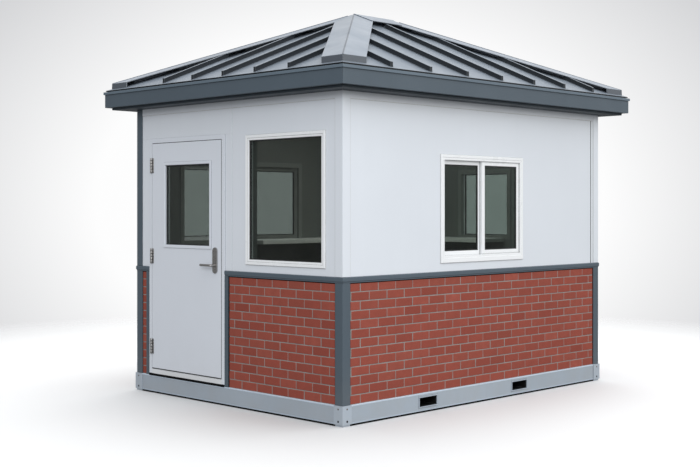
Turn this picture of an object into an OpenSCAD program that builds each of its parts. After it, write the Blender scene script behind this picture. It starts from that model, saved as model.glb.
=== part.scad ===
// Guard booth: a hollow cabin on a steel skid, with brick-faced lower walls,
// white upper panels, a glazed door, windows on all sides and a hipped seamed roof.
// Millimetres, +Z up, ground at zero, origin under the middle. The door faces -Y.

/* [Booth] */
// Width across the front, over the wall faces
wall_w = 2675; // [2500:5:3000]
// Depth from front to rear, over the wall faces
wall_d = 3500; // [3300:5:4200]
// Thickness of the wall panels
wall_t = 75; // [65:1:90]
// Height of the joint between the brick panels and the white panels
belt_z = 1120; // [1000:1:1130]
// Height of the soffit above the top of the door leaf
head_room = 320; // [250:1:500]
// Thickness of the ceiling panel
ceiling_t = 40; // [20:1:80]
// How far the walls reach above the underside of the soffit
wall_head = 27; // [20:1:60]

/* [Base] */
// Height of the top of the base frame
base_h = 160; // [150:1:200]
// Gap between the base beams and the ground
ground_gap = 15; // [10:1:30]
// How far the base beams stand out from the wall faces
beam_proud = 10; // [4:1:12]
// How far the corner blocks stand out from the wall faces
block_proud = 14; // [13:1:25]
// Side of a corner block
block_side = 98; // [80:1:120]
// Wall of a corner block
block_wall = 10; // [6:1:14]
// How far a foot is set in from its corner block
foot_inset = 9; // [4:1:14]
// Radius of an anchor hole in a corner block
anchor_r = 7; // [5:0.5:9]
// Height of the anchor holes
anchor_z = 40; // [32:1:60]
// Width of a base beam's flanges
flange_w = 104; // [96:1:130]
// Thickness of the base beam steel
steel_t = 6; // [4:1:10]
// Thickness of the floor deck
deck_t = 45; // [30:1:52]
// How far a base beam's web lies behind the edges of its flanges
web_set = 4; // [2:0.5:8]
// Clear width of a fork pocket
pocket_w = 220; // [160:1:260]
// Clear height of a fork pocket
pocket_h = 74; // [60:1:80]
// Spacing of the two fork pockets
pocket_pitch = 1243; // [900:1:1500]
// Distance of the pair of pockets from the middle, towards the front
pocket_shift = 143; // [0:1:200]
// How far the pocket tubes stand out from the beams
pocket_lip = 2; // [1:0.5:4]

/* [Trim] */
// Height of the belt rail
belt_h = 46; // [30:1:56]
// How far the belt rail stands out from the walls
belt_proud = 12; // [11:1:30]
// Leg of a corner trim
corner_leg = 84; // [60:1:100]
// How far the corner trims stand out from the walls
corner_proud = 5; // [3:0.5:7]
// How far the brick bed lies behind the white panels
brick_bed = 8; // [5:0.5:12]
// Width of the trims beside the door
side_trim_w = 44; // [30:1:60]
// How far the trims beside the door stand out
side_trim_proud = 10; // [9:1:18]
// Height of the strip along the top of the walls
head_strip_h = 57; // [40:1:80]
// How far that strip stands out
head_strip_proud = 3; // [2:0.5:4]
// Size of the groove at a panel joint
joint_groove = 5; // [3:0.5:8]
// Distance of the rear panel joint on the long walls from the rear corner
rear_joint = 120; // [110:1:200]

/* [Door] */
// Distance of the door frame from the left corner of the front
door_margin = 192; // [170:1:230]
// Width of the door leaf
leaf_w = 985; // [850:5:1000]
// Height of the door leaf
leaf_h = 2028; // [1950:2:2060]
// Thickness of the door leaf
leaf_t = 45; // [40:1:50]
// Height of the bottom of the door leaf above the base frame
leaf_rise = 65; // [56:1:90]
// Gap around the leaf
leaf_gap = 5; // [5:0.5:7]
// Gap on the lock side and behind the leaf
lock_gap = 7; // [6.5:0.5:9]
// Face width of the door frame
door_face = 40; // [32:1:45]
// How far the door frame stands out from the wall
door_proud = 8; // [6:1:9]
// Width of the stop behind the leaf
door_stop = 20; // [15:1:30]
// Gap under the door frame
sill_gap = 16; // [6:1:20]
// Width of the wall strip between the door frame and the panel joint
lock_strip_w = 88; // [70:1:140]
// Width of the visible glass in the door
vision_w = 632; // [500:2:650]
// Height of the visible glass in the door
vision_h = 708; // [500:2:760]
// Distance of the door glass from the top of the leaf
vision_drop = 199; // [150:1:260]
// Distance of the door glass from the middle of the leaf, towards the lock
vision_shift = 20; // [0:1:25]
// Width of the glazing bead
bead_w = 26; // [20:1:34]
// How far the glazing bead stands out
bead_proud = 7; // [4:1:9]
// Thickness of the door glass
vision_t = 10; // [6:1:14]

/* [Door hardware] */
// Height of a hinge
hinge_h = 134; // [100:2:160]
// Distance of the end hinges from the ends of the leaf
hinge_end = 197; // [150:1:260]
// Radius of a hinge barrel
hinge_r = 10; // [8:0.5:12]
// Radius of a hinge pin
pin_r = 4; // [3:0.5:5]
// Running clearance of a hinge pin
pin_clear = 0.08; // [0.04:0.01:0.1]
// Thickness of a hinge plate
hinge_plate_t = 3; // [2:0.5:4]
// Width of a hinge plate beyond its barrel
hinge_plate_w = 14; // [10:1:16]
// Height of the lever above the bottom of the leaf
lever_z = 959; // [900:1:1000]
// Distance of the lever's spindle from the lock edge
backset = 78; // [65:1:95]
// Length of the lock plates
plate_h = 220; // [180:1:260]
// Width of the lock plates
plate_w = 58; // [44:1:62]
// Thickness of the lock plates
plate_t = 10; // [6:1:14]
// How far the spindle lies below the middle of a plate
plate_drop = 41; // [20:1:50]
// Radius of the lever bar
lever_r = 11; // [8:0.5:12]
// Length of the lever from its spindle
lever_len = 142; // [110:1:160]
// Distance of the lever from its plate
lever_out = 44; // [36:1:55]
// Radius of the lever's bend
bend_r = 16; // [14:1:22]
// Running clearance of the spindle
spindle_clear = 0.4; // [0.3:0.1:1]

/* [Windows] */
// Distance of the front window from the edges of its panel
front_win_margin = 184; // [110:1:260]
// Distance of the front window from the soffit
front_win_drop = 298; // [240:1:400]
// Height of the front window's frame above the belt rail
front_win_rise = 61; // [50:1:120]
// Width of the long wall's sliding window over its frame
right_win_w = 1132; // [900:2:1300]
// Distance of the long wall's sliding window from the soffit
right_win_drop = 453; // [300:1:540]
// Height of that window's frame above the belt rail
right_win_rise = 70; // [50:1:140]
// Distance of that window from the middle of the wall, towards the front
right_win_shift = 36; // [0:1:120]
// Width of the left wall's sliding window over its frame
left_win_w = 1560; // [1200:5:1700]
// Distance of that window from the middle of the wall, towards the front
left_win_shift = 540; // [300:5:600]
// Width of the rear window over its frame
rear_win_w = 690; // [600:5:900]
// Distance of the left window from the soffit
left_win_drop = 446; // [300:1:540]
// How far the frame of the left window reaches below the top of the counter
left_win_sink = 60; // [40:1:90]
// Distance of the rear window from the soffit
rear_win_drop = 500; // [300:1:560]
// How far the frame of the rear window reaches below the top of the counter
rear_win_sink = 15; // [5:1:60]
// Face width of a fixed window's frame
fixed_face = 43; // [38:1:55]
// Face width of a sliding window's frame
slide_face = 44; // [38:1:55]
// How much taller a sliding window's sill is than its head
sill_extra = 16; // [4:1:30]
// How far the window frames stand out from the walls
frame_proud = 12; // [8:1:13]
// Thickness of the window glass
pane_t = 8; // [6:1:10]
// Depth of the glass in its groove
pane_bite = 6; // [4:1:8]
// Width of a sash's rails
rail_w = 42; // [34:1:50]
// Overlap of the two sashes of a window
sash_lap = 18; // [12:1:34]
// Depth of a sash
sash_t = 22; // [18:1:26]
// Clearance around a sash
sash_clear = 0.3; // [0.2:0.1:0.6]

/* [Counter] */
// Height of the top of the counter
counter_z = 1362; // [1300:1:1400]
// Thickness of the counter
counter_t = 38; // [28:1:50]
// Depth of the counter
counter_d = 420; // [350:5:480]
// Distance of the counter's front end from the middle of the booth
counter_front = 650; // [500:5:900]
// Distance of its rear leg's end from the middle of the booth
counter_end = 260; // [150:5:400]

/* [Roof] */
// How far the eaves reach past the walls
overhang = 214; // [180:1:240]
// Height of the fascia
fascia_h = 143; // [120:1:200]
// Thickness of the soffit
soffit_t = 21; // [15:1:30]
// How far the soffit is set in from the fascia
soffit_inset = 46; // [30:1:55]
// Height of the drip edge along the top of the fascia
drip_h = 24; // [18:1:40]
// How far the drip edge stands out
drip_proud = 10; // [6:1:16]
// Rise of the ridge above the fascia
ridge_rise = 746; // [560:1:900]
// Length of the ridge
ridge_len = 540; // [480:10:840]
// Thickness of the roof sheets
sheet_t = 9; // [6:1:14]
// How far the sheets are set in from the fascia
sheet_inset = 6; // [4:1:14]
// Shadow gap between the drip edge and the sheets
eave_gap = 6; // [4:1:16]
// Height of a standing seam
seam_h = 42; // [30:1:48]
// Width of a standing seam
seam_w = 28; // [16:1:34]
// Number of seams on each end slope
end_seams = 5; // [3:1:7]
// Spacing of the seams on the end slopes
end_pitch = 405; // [340:5:440]
// Distance of those seams from the middle of the slope, to the right
end_shift = 116; // [0:1:140]
// Number of seams on each long slope
side_seams = 7; // [5:1:9]
// Spacing of the seams on the long slopes
side_pitch = 465; // [380:1:480]
// Distance of the ends of the seams from the edge of the sheets
seam_start = 26; // [15:1:50]
// Half width of a hip cap, seen from above
cap_w = 170; // [150:1:230]
// Thickness of the caps
cap_t = 7; // [5:0.5:10]
// Distance of a hip cap's end from the edge of the sheets
cap_start = 40; // [30:1:60]

/* [Hidden] */
$fn = 48;

// Overrun of every cutting shape past the faces it cuts
over = 2;
// Gap between lengths that meet at a mitre
mitre_gap = 0.6;
// Fitting gap around the pocket tubes
tube_gap = 0.2;
// Gap between plates that are welded along an edge
weld_gap = 0.2;
// Gap between the flanges of beams that meet
flange_gap = 2;
half = 0.5;

white = [0.86, 0.88, 0.9];
slate = [0.3, 0.33, 0.36];
grey = [0.55, 0.58, 0.61];
brick = [0.55, 0.3, 0.27];
steel = [0.66, 0.67, 0.69];
tint = [0.35, 0.42, 0.4, 0.6];
deck_wood = [0.5, 0.46, 0.42];

leaf_z = base_h + leaf_rise;
soffit_z = leaf_z + leaf_h + head_room;
half_w = wall_w * half;
half_d = wall_d * half;
belt_low = belt_z - belt_h * half;
belt_high = belt_z + belt_h * half;
wall_top = soffit_z + wall_head;
inner_w = wall_w - 2 * wall_t;
inner_d = wall_d - 2 * wall_t;

// Sides are numbered 0 front, 1 right, 2 rear and 3 left
function is_end(side) = side % 2 == 0;
function wall_off(side) = is_end(side) ? half_d : half_w;

// Base frame
beam_h = base_h - ground_gap;
beam_end_w = half_w + block_proud - block_side;
beam_end_d = half_d + block_proud - block_side;
end_flange_w = block_side - block_proud + beam_proud - flange_gap;
anchor_in = block_side * half;
pocket_z = ground_gap + (beam_h - pocket_h) * half;
tube_w = pocket_w + 2 * steel_t;
tube_h = pocket_h + 2 * steel_t;
tube_low = pocket_z - steel_t;
tube_len = wall_w + 2 * beam_proud + 2 * pocket_lip;
pockets = [-pocket_shift - pocket_pitch * half, -pocket_shift + pocket_pitch * half];

// Door, in the front wall's own frame: x along the wall, y up, z outwards
frame_left = -half_w + door_margin;
leaf_left = frame_left + door_face + leaf_gap;
leaf_right = leaf_left + leaf_w;
rebate_left = leaf_left - leaf_gap;
rebate_right = leaf_right + lock_gap;
frame_right = rebate_right + door_face;
leaf_top = leaf_z + leaf_h;
rebate_top = leaf_top + leaf_gap;
frame_top = rebate_top + door_face;
frame_bottom = base_h + sill_gap;
threshold_top = leaf_z - leaf_gap;
leaf_inner = door_proud - leaf_t;
stop_front = leaf_inner - lock_gap;
joint_x = frame_right + lock_strip_w;
vision_x = (leaf_left + leaf_right) * half + vision_shift;
vision_y = leaf_top - vision_drop - vision_h * half;
bead_lap_share = 0.6;
bead_lap = bead_w * bead_lap_share;
hole_w = vision_w + 2 * (bead_w - bead_lap);
hole_h = vision_h + 2 * (bead_w - bead_lap);
glass_back = door_proud - (leaf_t + vision_t) * half;

// Hinges and lever
hinge_stand = 1;
hinge_x = leaf_left - leaf_gap * half;
hinge_off = door_proud + hinge_r + hinge_stand;
hinge_ys = [leaf_z + hinge_end, leaf_z + leaf_h * half, leaf_top - hinge_end];
knuckles = 5;
knuckle_gap = 0.6;
knuckle_h = hinge_h / knuckles;
plate_clear = 1.5;
lever_x = leaf_right - backset;
lever_y = leaf_z + lever_z;
lever_reach = leaf_t * half + plate_t + lever_out;
lever_mid = door_proud - leaf_t * half;
lever_tip_share = 0.4;
leaf_bore_r = lever_r + 2 * spindle_clear;

// Windows
front_win_w = half_w - joint_x - 2 * front_win_margin;
front_win_h = soffit_z - front_win_drop - belt_high - front_win_rise;
right_win_h = soffit_z - right_win_drop - belt_high - right_win_rise;
left_win_h = soffit_z - left_win_drop - counter_z + left_win_sink;
rear_win_h = soffit_z - rear_win_drop - counter_z + rear_win_sink;
front_win_x = (joint_x + half_w) * half;
front_win_y = belt_high + front_win_rise + front_win_h * half;
right_win_y = belt_high + right_win_rise + right_win_h * half;
left_win_y = counter_z - left_win_sink + left_win_h * half;
rear_win_y = counter_z - rear_win_sink + rear_win_h * half;
casing_lap_share = 0.5;
inner_casing = 8;
casing_gap = 0.4;
bevel = 3;
pane_set = 5;
groove_clear = 0.2;
lip_w = 6;
sash_set = 3;
sash_split = 2;
track_end = sash_set + 2 * sash_t + sash_split + 2 * sash_clear;

// Roof
eave_w = half_w + overhang;
eave_d = half_d + overhang;
fascia_z = soffit_z + soffit_t;
fascia_top = fascia_z + fascia_h;
fascia_t = 8;
fascia_flange = 96;
drip_wrap = 14;
ridge_top = fascia_top + ridge_rise;
ridge_half = ridge_len * half;
sheet_w = eave_w - sheet_inset;
sheet_d = eave_d - sheet_inset;
edge_z = fascia_top + eave_gap + sheet_t;
ridge_z = ridge_top - seam_h - 2 * cap_t;
closure_in = 30;
closure_w = 24;
closure_deep = 400;
seam_lap = 70;
ridge_lap = 60;
bed_share = 0.5;
cap_split = 0.5;
cap_nose = 14;

function run_of(side) = is_end(side) ? sheet_d - ridge_half : sheet_w;
function eave_half(side) = is_end(side) ? sheet_w : sheet_d;
function top_half(side) = is_end(side) ? 0 : ridge_half;
function edge_of(side) = is_end(side) ? sheet_d : sheet_w;

// Puts a shape drawn on a wall (x along it from its middle, y up, z outwards) on that side
module on_side(side) {
  rotate([0, 0, 90 * side])
    translate([0, -wall_off(side), 0])
      rotate([90, 0, 0])
        children();
}

// A flat box on a wall, from corner to corner
module wall_box(x0, x1, y0, y1, z0, z1) {
  translate([x0, y0, z0])
    cube([x1 - x0, y1 - y0, z1 - z0]);
}

// One side of a mitred ring: the section's first value runs in from the outer edge
module mitred_side(length, section, reach, gap) {
  intersection() {
    rotate([90, 0, 90])
      translate([0, 0, -length * half])
        linear_extrude(height = length)
          polygon(section);
    translate([0, 0, -wall_d])
      linear_extrude(height = 2 * wall_d)
        polygon([
          [-length * half + gap, 0],
          [length * half - gap, 0],
          [length * half - reach - gap, reach],
          [-length * half + reach + gap, reach]]);
  }
}

// A mitred rectangular ring lying flat, its section standing up
module mitred_ring(w, h, section, reach, gap) {
  for (i = [0:3]) {
    rotate([0, 0, 90 * i])
      translate([0, -(is_end(i) ? h : w) * half, 0])
        mitred_side(is_end(i) ? w : h, section, reach, gap);
  }
}

// Outline of a stepped block, seen along one of its sides, from a section of insets and heights
function block_outline(size, section) = concat(
  [for (p = section) [size * half - p[0], p[1]]],
  [for (i = [len(section) - 1:-1:0]) [section[i][0] - size * half, section[i][1]]]);

// A rectangular block whose four sides all follow one section: in from the outer edge, and up
module rect_block(w, h, section) {
  intersection() {
    rotate([90, 0, 0])
      translate([0, 0, -h * half - over])
        linear_extrude(height = h + 2 * over)
          polygon(block_outline(w, section));
    rotate([90, 0, 90])
      translate([0, 0, -w * half - over])
        linear_extrude(height = w + 2 * over)
          polygon(block_outline(h, section));
  }
}

// Base

module beam_flanges(length, width) {
  for (z = [ground_gap, base_h - steel_t])
    translate([-length * half, 0, z])
      cube([length, width, steel_t]);
}

module beam_web(length) {
  translate([-length * half, web_set, ground_gap + steel_t + weld_gap])
    cube([length, steel_t, beam_h - 2 * steel_t - 2 * weld_gap]);
}

module base_end_beams() {
  color(grey)
    for (side = [0, 2])
      rotate([0, 0, 90 * side])
        translate([0, -half_d - beam_proud, 0]) {
          beam_flanges(2 * beam_end_w, end_flange_w);
          beam_web(2 * beam_end_w);
        }
}

module at_side_beams() {
  for (side = [1, 3])
    rotate([0, 0, 90 * side])
      translate([0, -half_w - beam_proud, 0])
        children();
}

// The webs stop at the pocket tubes, and short plates fill them in above and below
module base_side_beams() {
  color(grey) {
    at_side_beams()
      beam_flanges(2 * beam_end_d, flange_w);
    difference() {
      at_side_beams()
        beam_web(2 * beam_end_d);
      for (y = pockets)
        translate([-tube_len * half, y - tube_w * half - tube_gap, 0])
          cube([tube_len, tube_w + 2 * tube_gap, base_h]);
    }
    intersection() {
      at_side_beams()
        beam_web(2 * beam_end_d);
      for (y = pockets)
        for (band = [[0, tube_low - tube_gap], [tube_low + tube_h + tube_gap, base_h]])
          translate([-tube_len * half, y - tube_w * half, band[0]])
            cube([tube_len, tube_w, band[1] - band[0]]);
    }
  }
}

module corner_foot() {
  difference() {
    union() {
      translate([-block_side, -block_side, ground_gap])
        cube([block_side, block_side, beam_h]);
      translate([-block_side + foot_inset, -block_side + foot_inset, 0])
        cube([block_side - 2 * foot_inset, block_side - 2 * foot_inset, ground_gap + block_wall]);
    }
    translate([-block_side + block_wall, -block_side + block_wall, ground_gap + block_wall])
      cube([block_side - 2 * block_wall, block_side - 2 * block_wall, beam_h - 2 * block_wall]);
    translate([-anchor_in, -block_wall - over, anchor_z])
      rotate([-90, 0, 0])
        cylinder(h = block_wall + 2 * over, r = anchor_r);
    translate([-block_wall - over, -anchor_in, anchor_z])
      rotate([0, 90, 0])
        cylinder(h = block_wall + 2 * over, r = anchor_r);
  }
}

module corner_feet() {
  color(grey)
    for (sx = [-1, 1])
      for (sy = [-1, 1])
        translate([sx * (half_w + block_proud), sy * (half_d + block_proud), 0])
          scale([sx, sy, 1])
            corner_foot();
}

module fork_pockets() {
  color(grey)
    for (y = pockets) {
      for (z = [tube_low, pocket_z + pocket_h])
        translate([-tube_len * half, y - tube_w * half, z])
          cube([tube_len, tube_w, steel_t]);
      for (edge = [-tube_w * half, pocket_w * half])
        translate([-tube_len * half, y + edge, pocket_z + weld_gap])
          cube([tube_len, steel_t, pocket_h - 2 * weld_gap]);
    }
}

module floor_deck() {
  color(deck_wood)
    translate([-inner_w * half, -inner_d * half, base_h])
      cube([inner_w, inner_d, deck_t]);
}

// Walls

module front_brick_panels() {
  color(brick)
    on_side(0) {
      wall_box(-inner_w * half, frame_left, base_h, belt_z, -wall_t, -brick_bed);
      wall_box(frame_right, inner_w * half, base_h, belt_z, -wall_t, -brick_bed);
    }
}

module rear_brick_panel() {
  color(brick)
    on_side(2)
      wall_box(-inner_w * half, inner_w * half, base_h, belt_z, -wall_t, -brick_bed);
}

module long_brick_panel(side) {
  color(brick)
    on_side(side)
      wall_box(brick_bed - half_d, half_d - brick_bed, base_h, belt_z, -wall_t, -brick_bed);
}

module right_brick_panel() {
  long_brick_panel(1);
}

module left_brick_panel() {
  long_brick_panel(3);
}

// Vertical groove cut along a panel joint
module joint_cut(x) {
  translate([x, belt_z - over, 0])
    rotate([-90, 0, 0])
      linear_extrude(height = wall_top - belt_z + 2 * over)
        polygon([
          [-joint_groove * half - over, -over],
          [joint_groove * half + over, -over],
          [0, joint_groove]]);
}

// Hole through a wall for a window's frame
module window_cut(x, y, w, h, face) {
  lap = face * casing_lap_share;
  wall_box(x - w * half + lap, x + w * half - lap, y - h * half + lap, y + h * half - lap,
    -wall_t - over, over);
}

// Strip along the top of a wall, between the corner trims
module head_strip(x0, x1) {
  wall_box(x0, x1, soffit_z - head_strip_h, soffit_z, -over, head_strip_proud);
}

strip_end_w = half_w + corner_proud - corner_leg;
strip_end_d = half_d + corner_proud - corner_leg;

module front_wall_door_sides() {
  color(white)
    on_side(0)
      difference() {
        union() {
          wall_box(-inner_w * half, frame_left, belt_z, frame_top, -wall_t, 0);
          wall_box(frame_right, joint_x, belt_z, frame_top, -wall_t, 0);
        }
        joint_cut(joint_x);
      }
}

module front_wall_over_door() {
  color(white)
    on_side(0)
      difference() {
        union() {
          wall_box(-inner_w * half, joint_x, frame_top, wall_top, -wall_t, 0);
          head_strip(-strip_end_w, joint_x);
        }
        joint_cut(joint_x);
      }
}

module front_wall_window_side() {
  color(white)
    on_side(0)
      difference() {
        union() {
          wall_box(joint_x, inner_w * half, belt_z, wall_top, -wall_t, 0);
          head_strip(joint_x, strip_end_w);
        }
        joint_cut(joint_x);
        window_cut(front_win_x, front_win_y, front_win_w, front_win_h, fixed_face);
      }
}

module rear_wall() {
  color(white)
    on_side(2)
      difference() {
        union() {
          wall_box(-inner_w * half, inner_w * half, belt_z, wall_top, -wall_t, 0);
          head_strip(-strip_end_w, strip_end_w);
        }
        window_cut(0, rear_win_y, rear_win_w, rear_win_h, fixed_face);
      }
}

module long_wall(side, joint, x, y, w, h) {
  color(white)
    on_side(side)
      difference() {
        union() {
          wall_box(-half_d, half_d, belt_z, wall_top, -wall_t, 0);
          head_strip(-strip_end_d, strip_end_d);
        }
        joint_cut(joint);
        window_cut(x, y, w, h, slide_face);
      }
}

module right_wall() {
  long_wall(1, half_d - rear_joint, -right_win_shift, right_win_y, right_win_w, right_win_h);
}

module left_wall() {
  long_wall(3, rear_joint - half_d, left_win_shift, left_win_y, left_win_w, left_win_h);
}

module ceiling_panel() {
  color(white)
    translate([-half_w, -half_d, wall_top])
      cube([wall_w, wall_d, ceiling_t]);
}

// Trim

belt_bevel_share = 0.12;
belt_bevel = belt_h * belt_bevel_share;
belt_step_share = 0.3;
belt_step = belt_h * belt_step_share;

module belt_rails() {
  color(slate)
    difference() {
      mitred_ring(wall_w + 2 * belt_proud, wall_d + 2 * belt_proud, [
        [0, belt_low + belt_step],
        [belt_bevel, belt_low + belt_step - belt_bevel],
        [belt_bevel, belt_low],
        [belt_proud + brick_bed, belt_low],
        [belt_proud + brick_bed, belt_z],
        [belt_proud, belt_z],
        [belt_proud, belt_high],
        [belt_bevel, belt_high],
        [0, belt_high - belt_bevel]],
        belt_proud + brick_bed, mitre_gap);
      on_side(0)
        wall_box(frame_left, frame_right, belt_low - over, belt_high + over, -wall_t, belt_proud + over);
    }
}

// Angle trim over a corner, drawn with the corner at the origin
module corner_angle(z0, z1, t) {
  translate([0, 0, z0])
    linear_extrude(height = z1 - z0)
      polygon([
        [0, 0],
        [-corner_leg, 0],
        [-corner_leg, -t],
        [-t, -t],
        [-t, -corner_leg],
        [0, -corner_leg]]);
}

module at_corner(sx, sy) {
  translate([sx * (half_w + corner_proud), sy * (half_d + corner_proud), 0])
    scale([sx, sy, 1])
      children();
}

module dark_corner_trims() {
  color(slate) {
    for (sx = [-1, 1])
      for (sy = [-1, 1])
        at_corner(sx, sy)
          corner_angle(base_h, belt_low, corner_proud + brick_bed);
    at_corner(-1, -1)
      corner_angle(belt_high, soffit_z, corner_proud);
  }
}

module white_corner_trims() {
  color(white)
    for (c = [[1, -1], [1, 1], [-1, 1]])
      at_corner(c[0], c[1])
        corner_angle(belt_high, soffit_z, corner_proud);
}

module door_side_trims() {
  color(slate)
    on_side(0) {
      wall_box(frame_left - side_trim_w, frame_left, base_h, belt_low, -brick_bed, side_trim_proud);
      wall_box(frame_right, frame_right + side_trim_w, base_h, belt_low, -brick_bed, side_trim_proud);
    }
}

// Door

module door_frame() {
  color(white)
    on_side(0)
      difference() {
        wall_box(frame_left, frame_right, frame_bottom, frame_top, -wall_t, door_proud);
        wall_box(rebate_left, rebate_right, frame_bottom - over, rebate_top, stop_front, door_proud + over);
        wall_box(rebate_left + door_stop, rebate_right - door_stop, frame_bottom - over,
          rebate_top - door_stop, -wall_t - over, stop_front + over);
        wall_box(
          rebate_left, rebate_right,
          frame_bottom - over, threshold_top,
          -wall_t - over, door_proud + over);
      }
}

threshold_lip = 6;

module door_threshold() {
  color(steel)
    on_side(0)
      rotate([90, 0, 90])
        translate([0, 0, rebate_left])
          linear_extrude(height = rebate_right - rebate_left)
            polygon([
              [frame_bottom, -wall_t],
              [frame_bottom, door_proud],
              [threshold_top - threshold_lip, door_proud],
              [threshold_top, door_proud - threshold_lip],
              [threshold_top, -wall_t]]);
}

module door_leaf() {
  color(white)
    on_side(0)
      difference() {
        wall_box(leaf_left, leaf_right, leaf_z, leaf_top, leaf_inner, door_proud);
        wall_box(vision_x - hole_w * half, vision_x + hole_w * half, vision_y - hole_h * half,
          vision_y + hole_h * half, leaf_inner - over, door_proud + over);
        translate([lever_x, lever_y, leaf_inner - over])
          cylinder(h = leaf_t + 2 * over, r = leaf_bore_r);
      }
}

module door_glass() {
  color(tint)
    on_side(0)
      wall_box(vision_x - hole_w * half, vision_x + hole_w * half, vision_y - hole_h * half,
        vision_y + hole_h * half, glass_back, glass_back + vision_t);
}

module bead_ring() {
  seat = glass_back + vision_t - door_proud;
  w = vision_w + 2 * bead_w;
  h = vision_h + 2 * bead_w;
  difference() {
    rect_block(w, h, [
      [bead_lap, seat],
      [bead_lap, 0],
      [0, 0],
      [0, bead_proud]]);
    rect_block(w, h, [
      [bead_w, seat - over],
      [bead_w, bead_proud * half],
      [bead_w - bead_proud * half, bead_proud],
      [bead_w - bead_proud * half, bead_proud + over]]);
  }
}

module door_beads() {
  color(white)
    on_side(0) {
      translate([vision_x, vision_y, door_proud])
        bead_ring();
      translate([vision_x, vision_y, leaf_inner])
        rotate([0, 180, 0])
          bead_ring();
    }
}

// One half of a hinge: its own knuckles joined to a plate on the side given by way
module hinge_half(first, way) {
  plate_in = hinge_r + plate_clear;
  union() {
    for (k = [first:2:knuckles - 1])
      translate([0, k * knuckle_h + knuckle_gap * half, 0]) {
        rotate([-90, 0, 0])
          cylinder(h = knuckle_h - knuckle_gap, r = hinge_r);
        translate([way > 0 ? 0 : -plate_in - over, 0, -hinge_r - hinge_stand])
          cube([plate_in + over, knuckle_h - knuckle_gap, hinge_plate_t]);
      }
    translate([way > 0 ? plate_in : -plate_in - hinge_plate_w, 0, -hinge_r - hinge_stand])
      cube([hinge_plate_w, hinge_h, hinge_plate_t]);
  }
}

module at_hinges() {
  on_side(0)
    for (y = hinge_ys)
      translate([hinge_x, y - hinge_h * half, hinge_off])
        children();
}

module hinge_frame_halves() {
  color(steel)
    at_hinges()
      union() {
        hinge_half(0, -1);
        rotate([-90, 0, 0])
          translate([0, 0, knuckle_gap])
            cylinder(h = hinge_h - 2 * knuckle_gap, r = pin_r);
      }
}

module hinge_leaf_halves() {
  color(steel)
    at_hinges()
      difference() {
        hinge_half(1, 1);
        translate([0, -over, 0])
          rotate([-90, 0, 0])
            cylinder(h = hinge_h + 2 * over, r = pin_r + pin_clear);
      }
}

module lock_plate() {
  straight = plate_h - plate_w;
  difference() {
    union() {
      translate([-plate_w * half, -straight * half, 0])
        cube([plate_w, straight, plate_t]);
      for (s = [-1, 1])
        translate([0, s * straight * half, 0])
          cylinder(h = plate_t, r = plate_w * half);
    }
    translate([0, -plate_drop, -over])
      cylinder(h = plate_t + 2 * over, r = lever_r + spindle_clear);
  }
}

module lock_plates() {
  color(steel)
    on_side(0) {
      translate([lever_x, lever_y + plate_drop, door_proud])
        lock_plate();
      translate([lever_x, lever_y + plate_drop, leaf_inner])
        rotate([0, 180, 0])
          lock_plate();
    }
}

// Half of the lever set, from the middle of the leaf outwards
module lever_half() {
  tip = lever_r * lever_tip_share;
  cylinder(h = lever_reach - bend_r, r = lever_r);
  translate([-bend_r, 0, lever_reach - bend_r])
    rotate([90, 0, 0])
      rotate_extrude(angle = 90)
        translate([bend_r, 0])
          circle(r = lever_r);
  translate([-bend_r, 0, lever_reach])
    rotate([0, -90, 0])
      rotate_extrude()
        polygon([
          [0, 0],
          [lever_r, 0],
          [lever_r, lever_len - bend_r - tip],
          [lever_r - tip, lever_len - bend_r],
          [0, lever_len - bend_r]]);
}

module door_lever() {
  color(steel)
    on_side(0)
      translate([lever_x, lever_y, lever_mid])
        union() {
          lever_half();
          mirror([0, 0, 1])
            lever_half();
        }
}

// Windows

// Outside of a window frame, narrow in the wall and wide on both of its faces
module frame_block(w, h, lap) {
  rect_block(w, h, [
    [0, -wall_t - inner_casing],
    [0, -wall_t],
    [lap, -wall_t],
    [lap, 0],
    [0, 0],
    [0, frame_proud - bevel],
    [bevel, frame_proud]]);
}

module fixed_frame(w, h) {
  lap = fixed_face * casing_lap_share;
  groove = fixed_face - pane_bite - groove_clear;
  difference() {
    frame_block(w, h, lap);
    rect_block(w, h, [
      [fixed_face, -wall_t - inner_casing - over],
      [fixed_face, -pane_set - pane_t - groove_clear],
      [groove, -pane_set - pane_t - groove_clear],
      [groove, -pane_set + groove_clear],
      [fixed_face, -pane_set + groove_clear],
      [fixed_face, frame_proud - 2 * bevel],
      [fixed_face - bevel, frame_proud - bevel],
      [lap + bevel, frame_proud - bevel],
      [lap, frame_proud],
      [lap, frame_proud + over]]);
  }
}

module fixed_pane(w, h) {
  gw = w - 2 * (fixed_face - pane_bite);
  gh = h - 2 * (fixed_face - pane_bite);
  wall_box(-gw * half, gw * half, -gh * half, gh * half, -pane_set - pane_t, -pane_set);
}

// Frame with two tracks for sashes, and a sill taller than its head
module slide_frame(w, h) {
  lap = slide_face * casing_lap_share;
  difference() {
    frame_block(w, h, lap);
    translate([0, sill_extra * half, 0])
      rect_block(w, h - sill_extra, [
        [slide_face, -wall_t - inner_casing - over],
        [slide_face, -track_end],
        [slide_face - lip_w, -track_end],
        [slide_face - lip_w, -sash_set],
        [slide_face, -sash_set],
        [slide_face, frame_proud - bevel],
        [lap + bevel, frame_proud - bevel],
        [lap, frame_proud],
        [lap, frame_proud + over]]);
  }
}

function sash_w(w) = (w - 2 * (slide_face - lip_w) + sash_lap) * half - sash_clear;
function sash_h(h) = h - sill_extra - 2 * (slide_face - lip_w) - 2 * sash_clear;
function sash_x(w, way) = way * ((w - 2 * (slide_face - lip_w)) * half - sash_clear - sash_w(w) * half);

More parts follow.
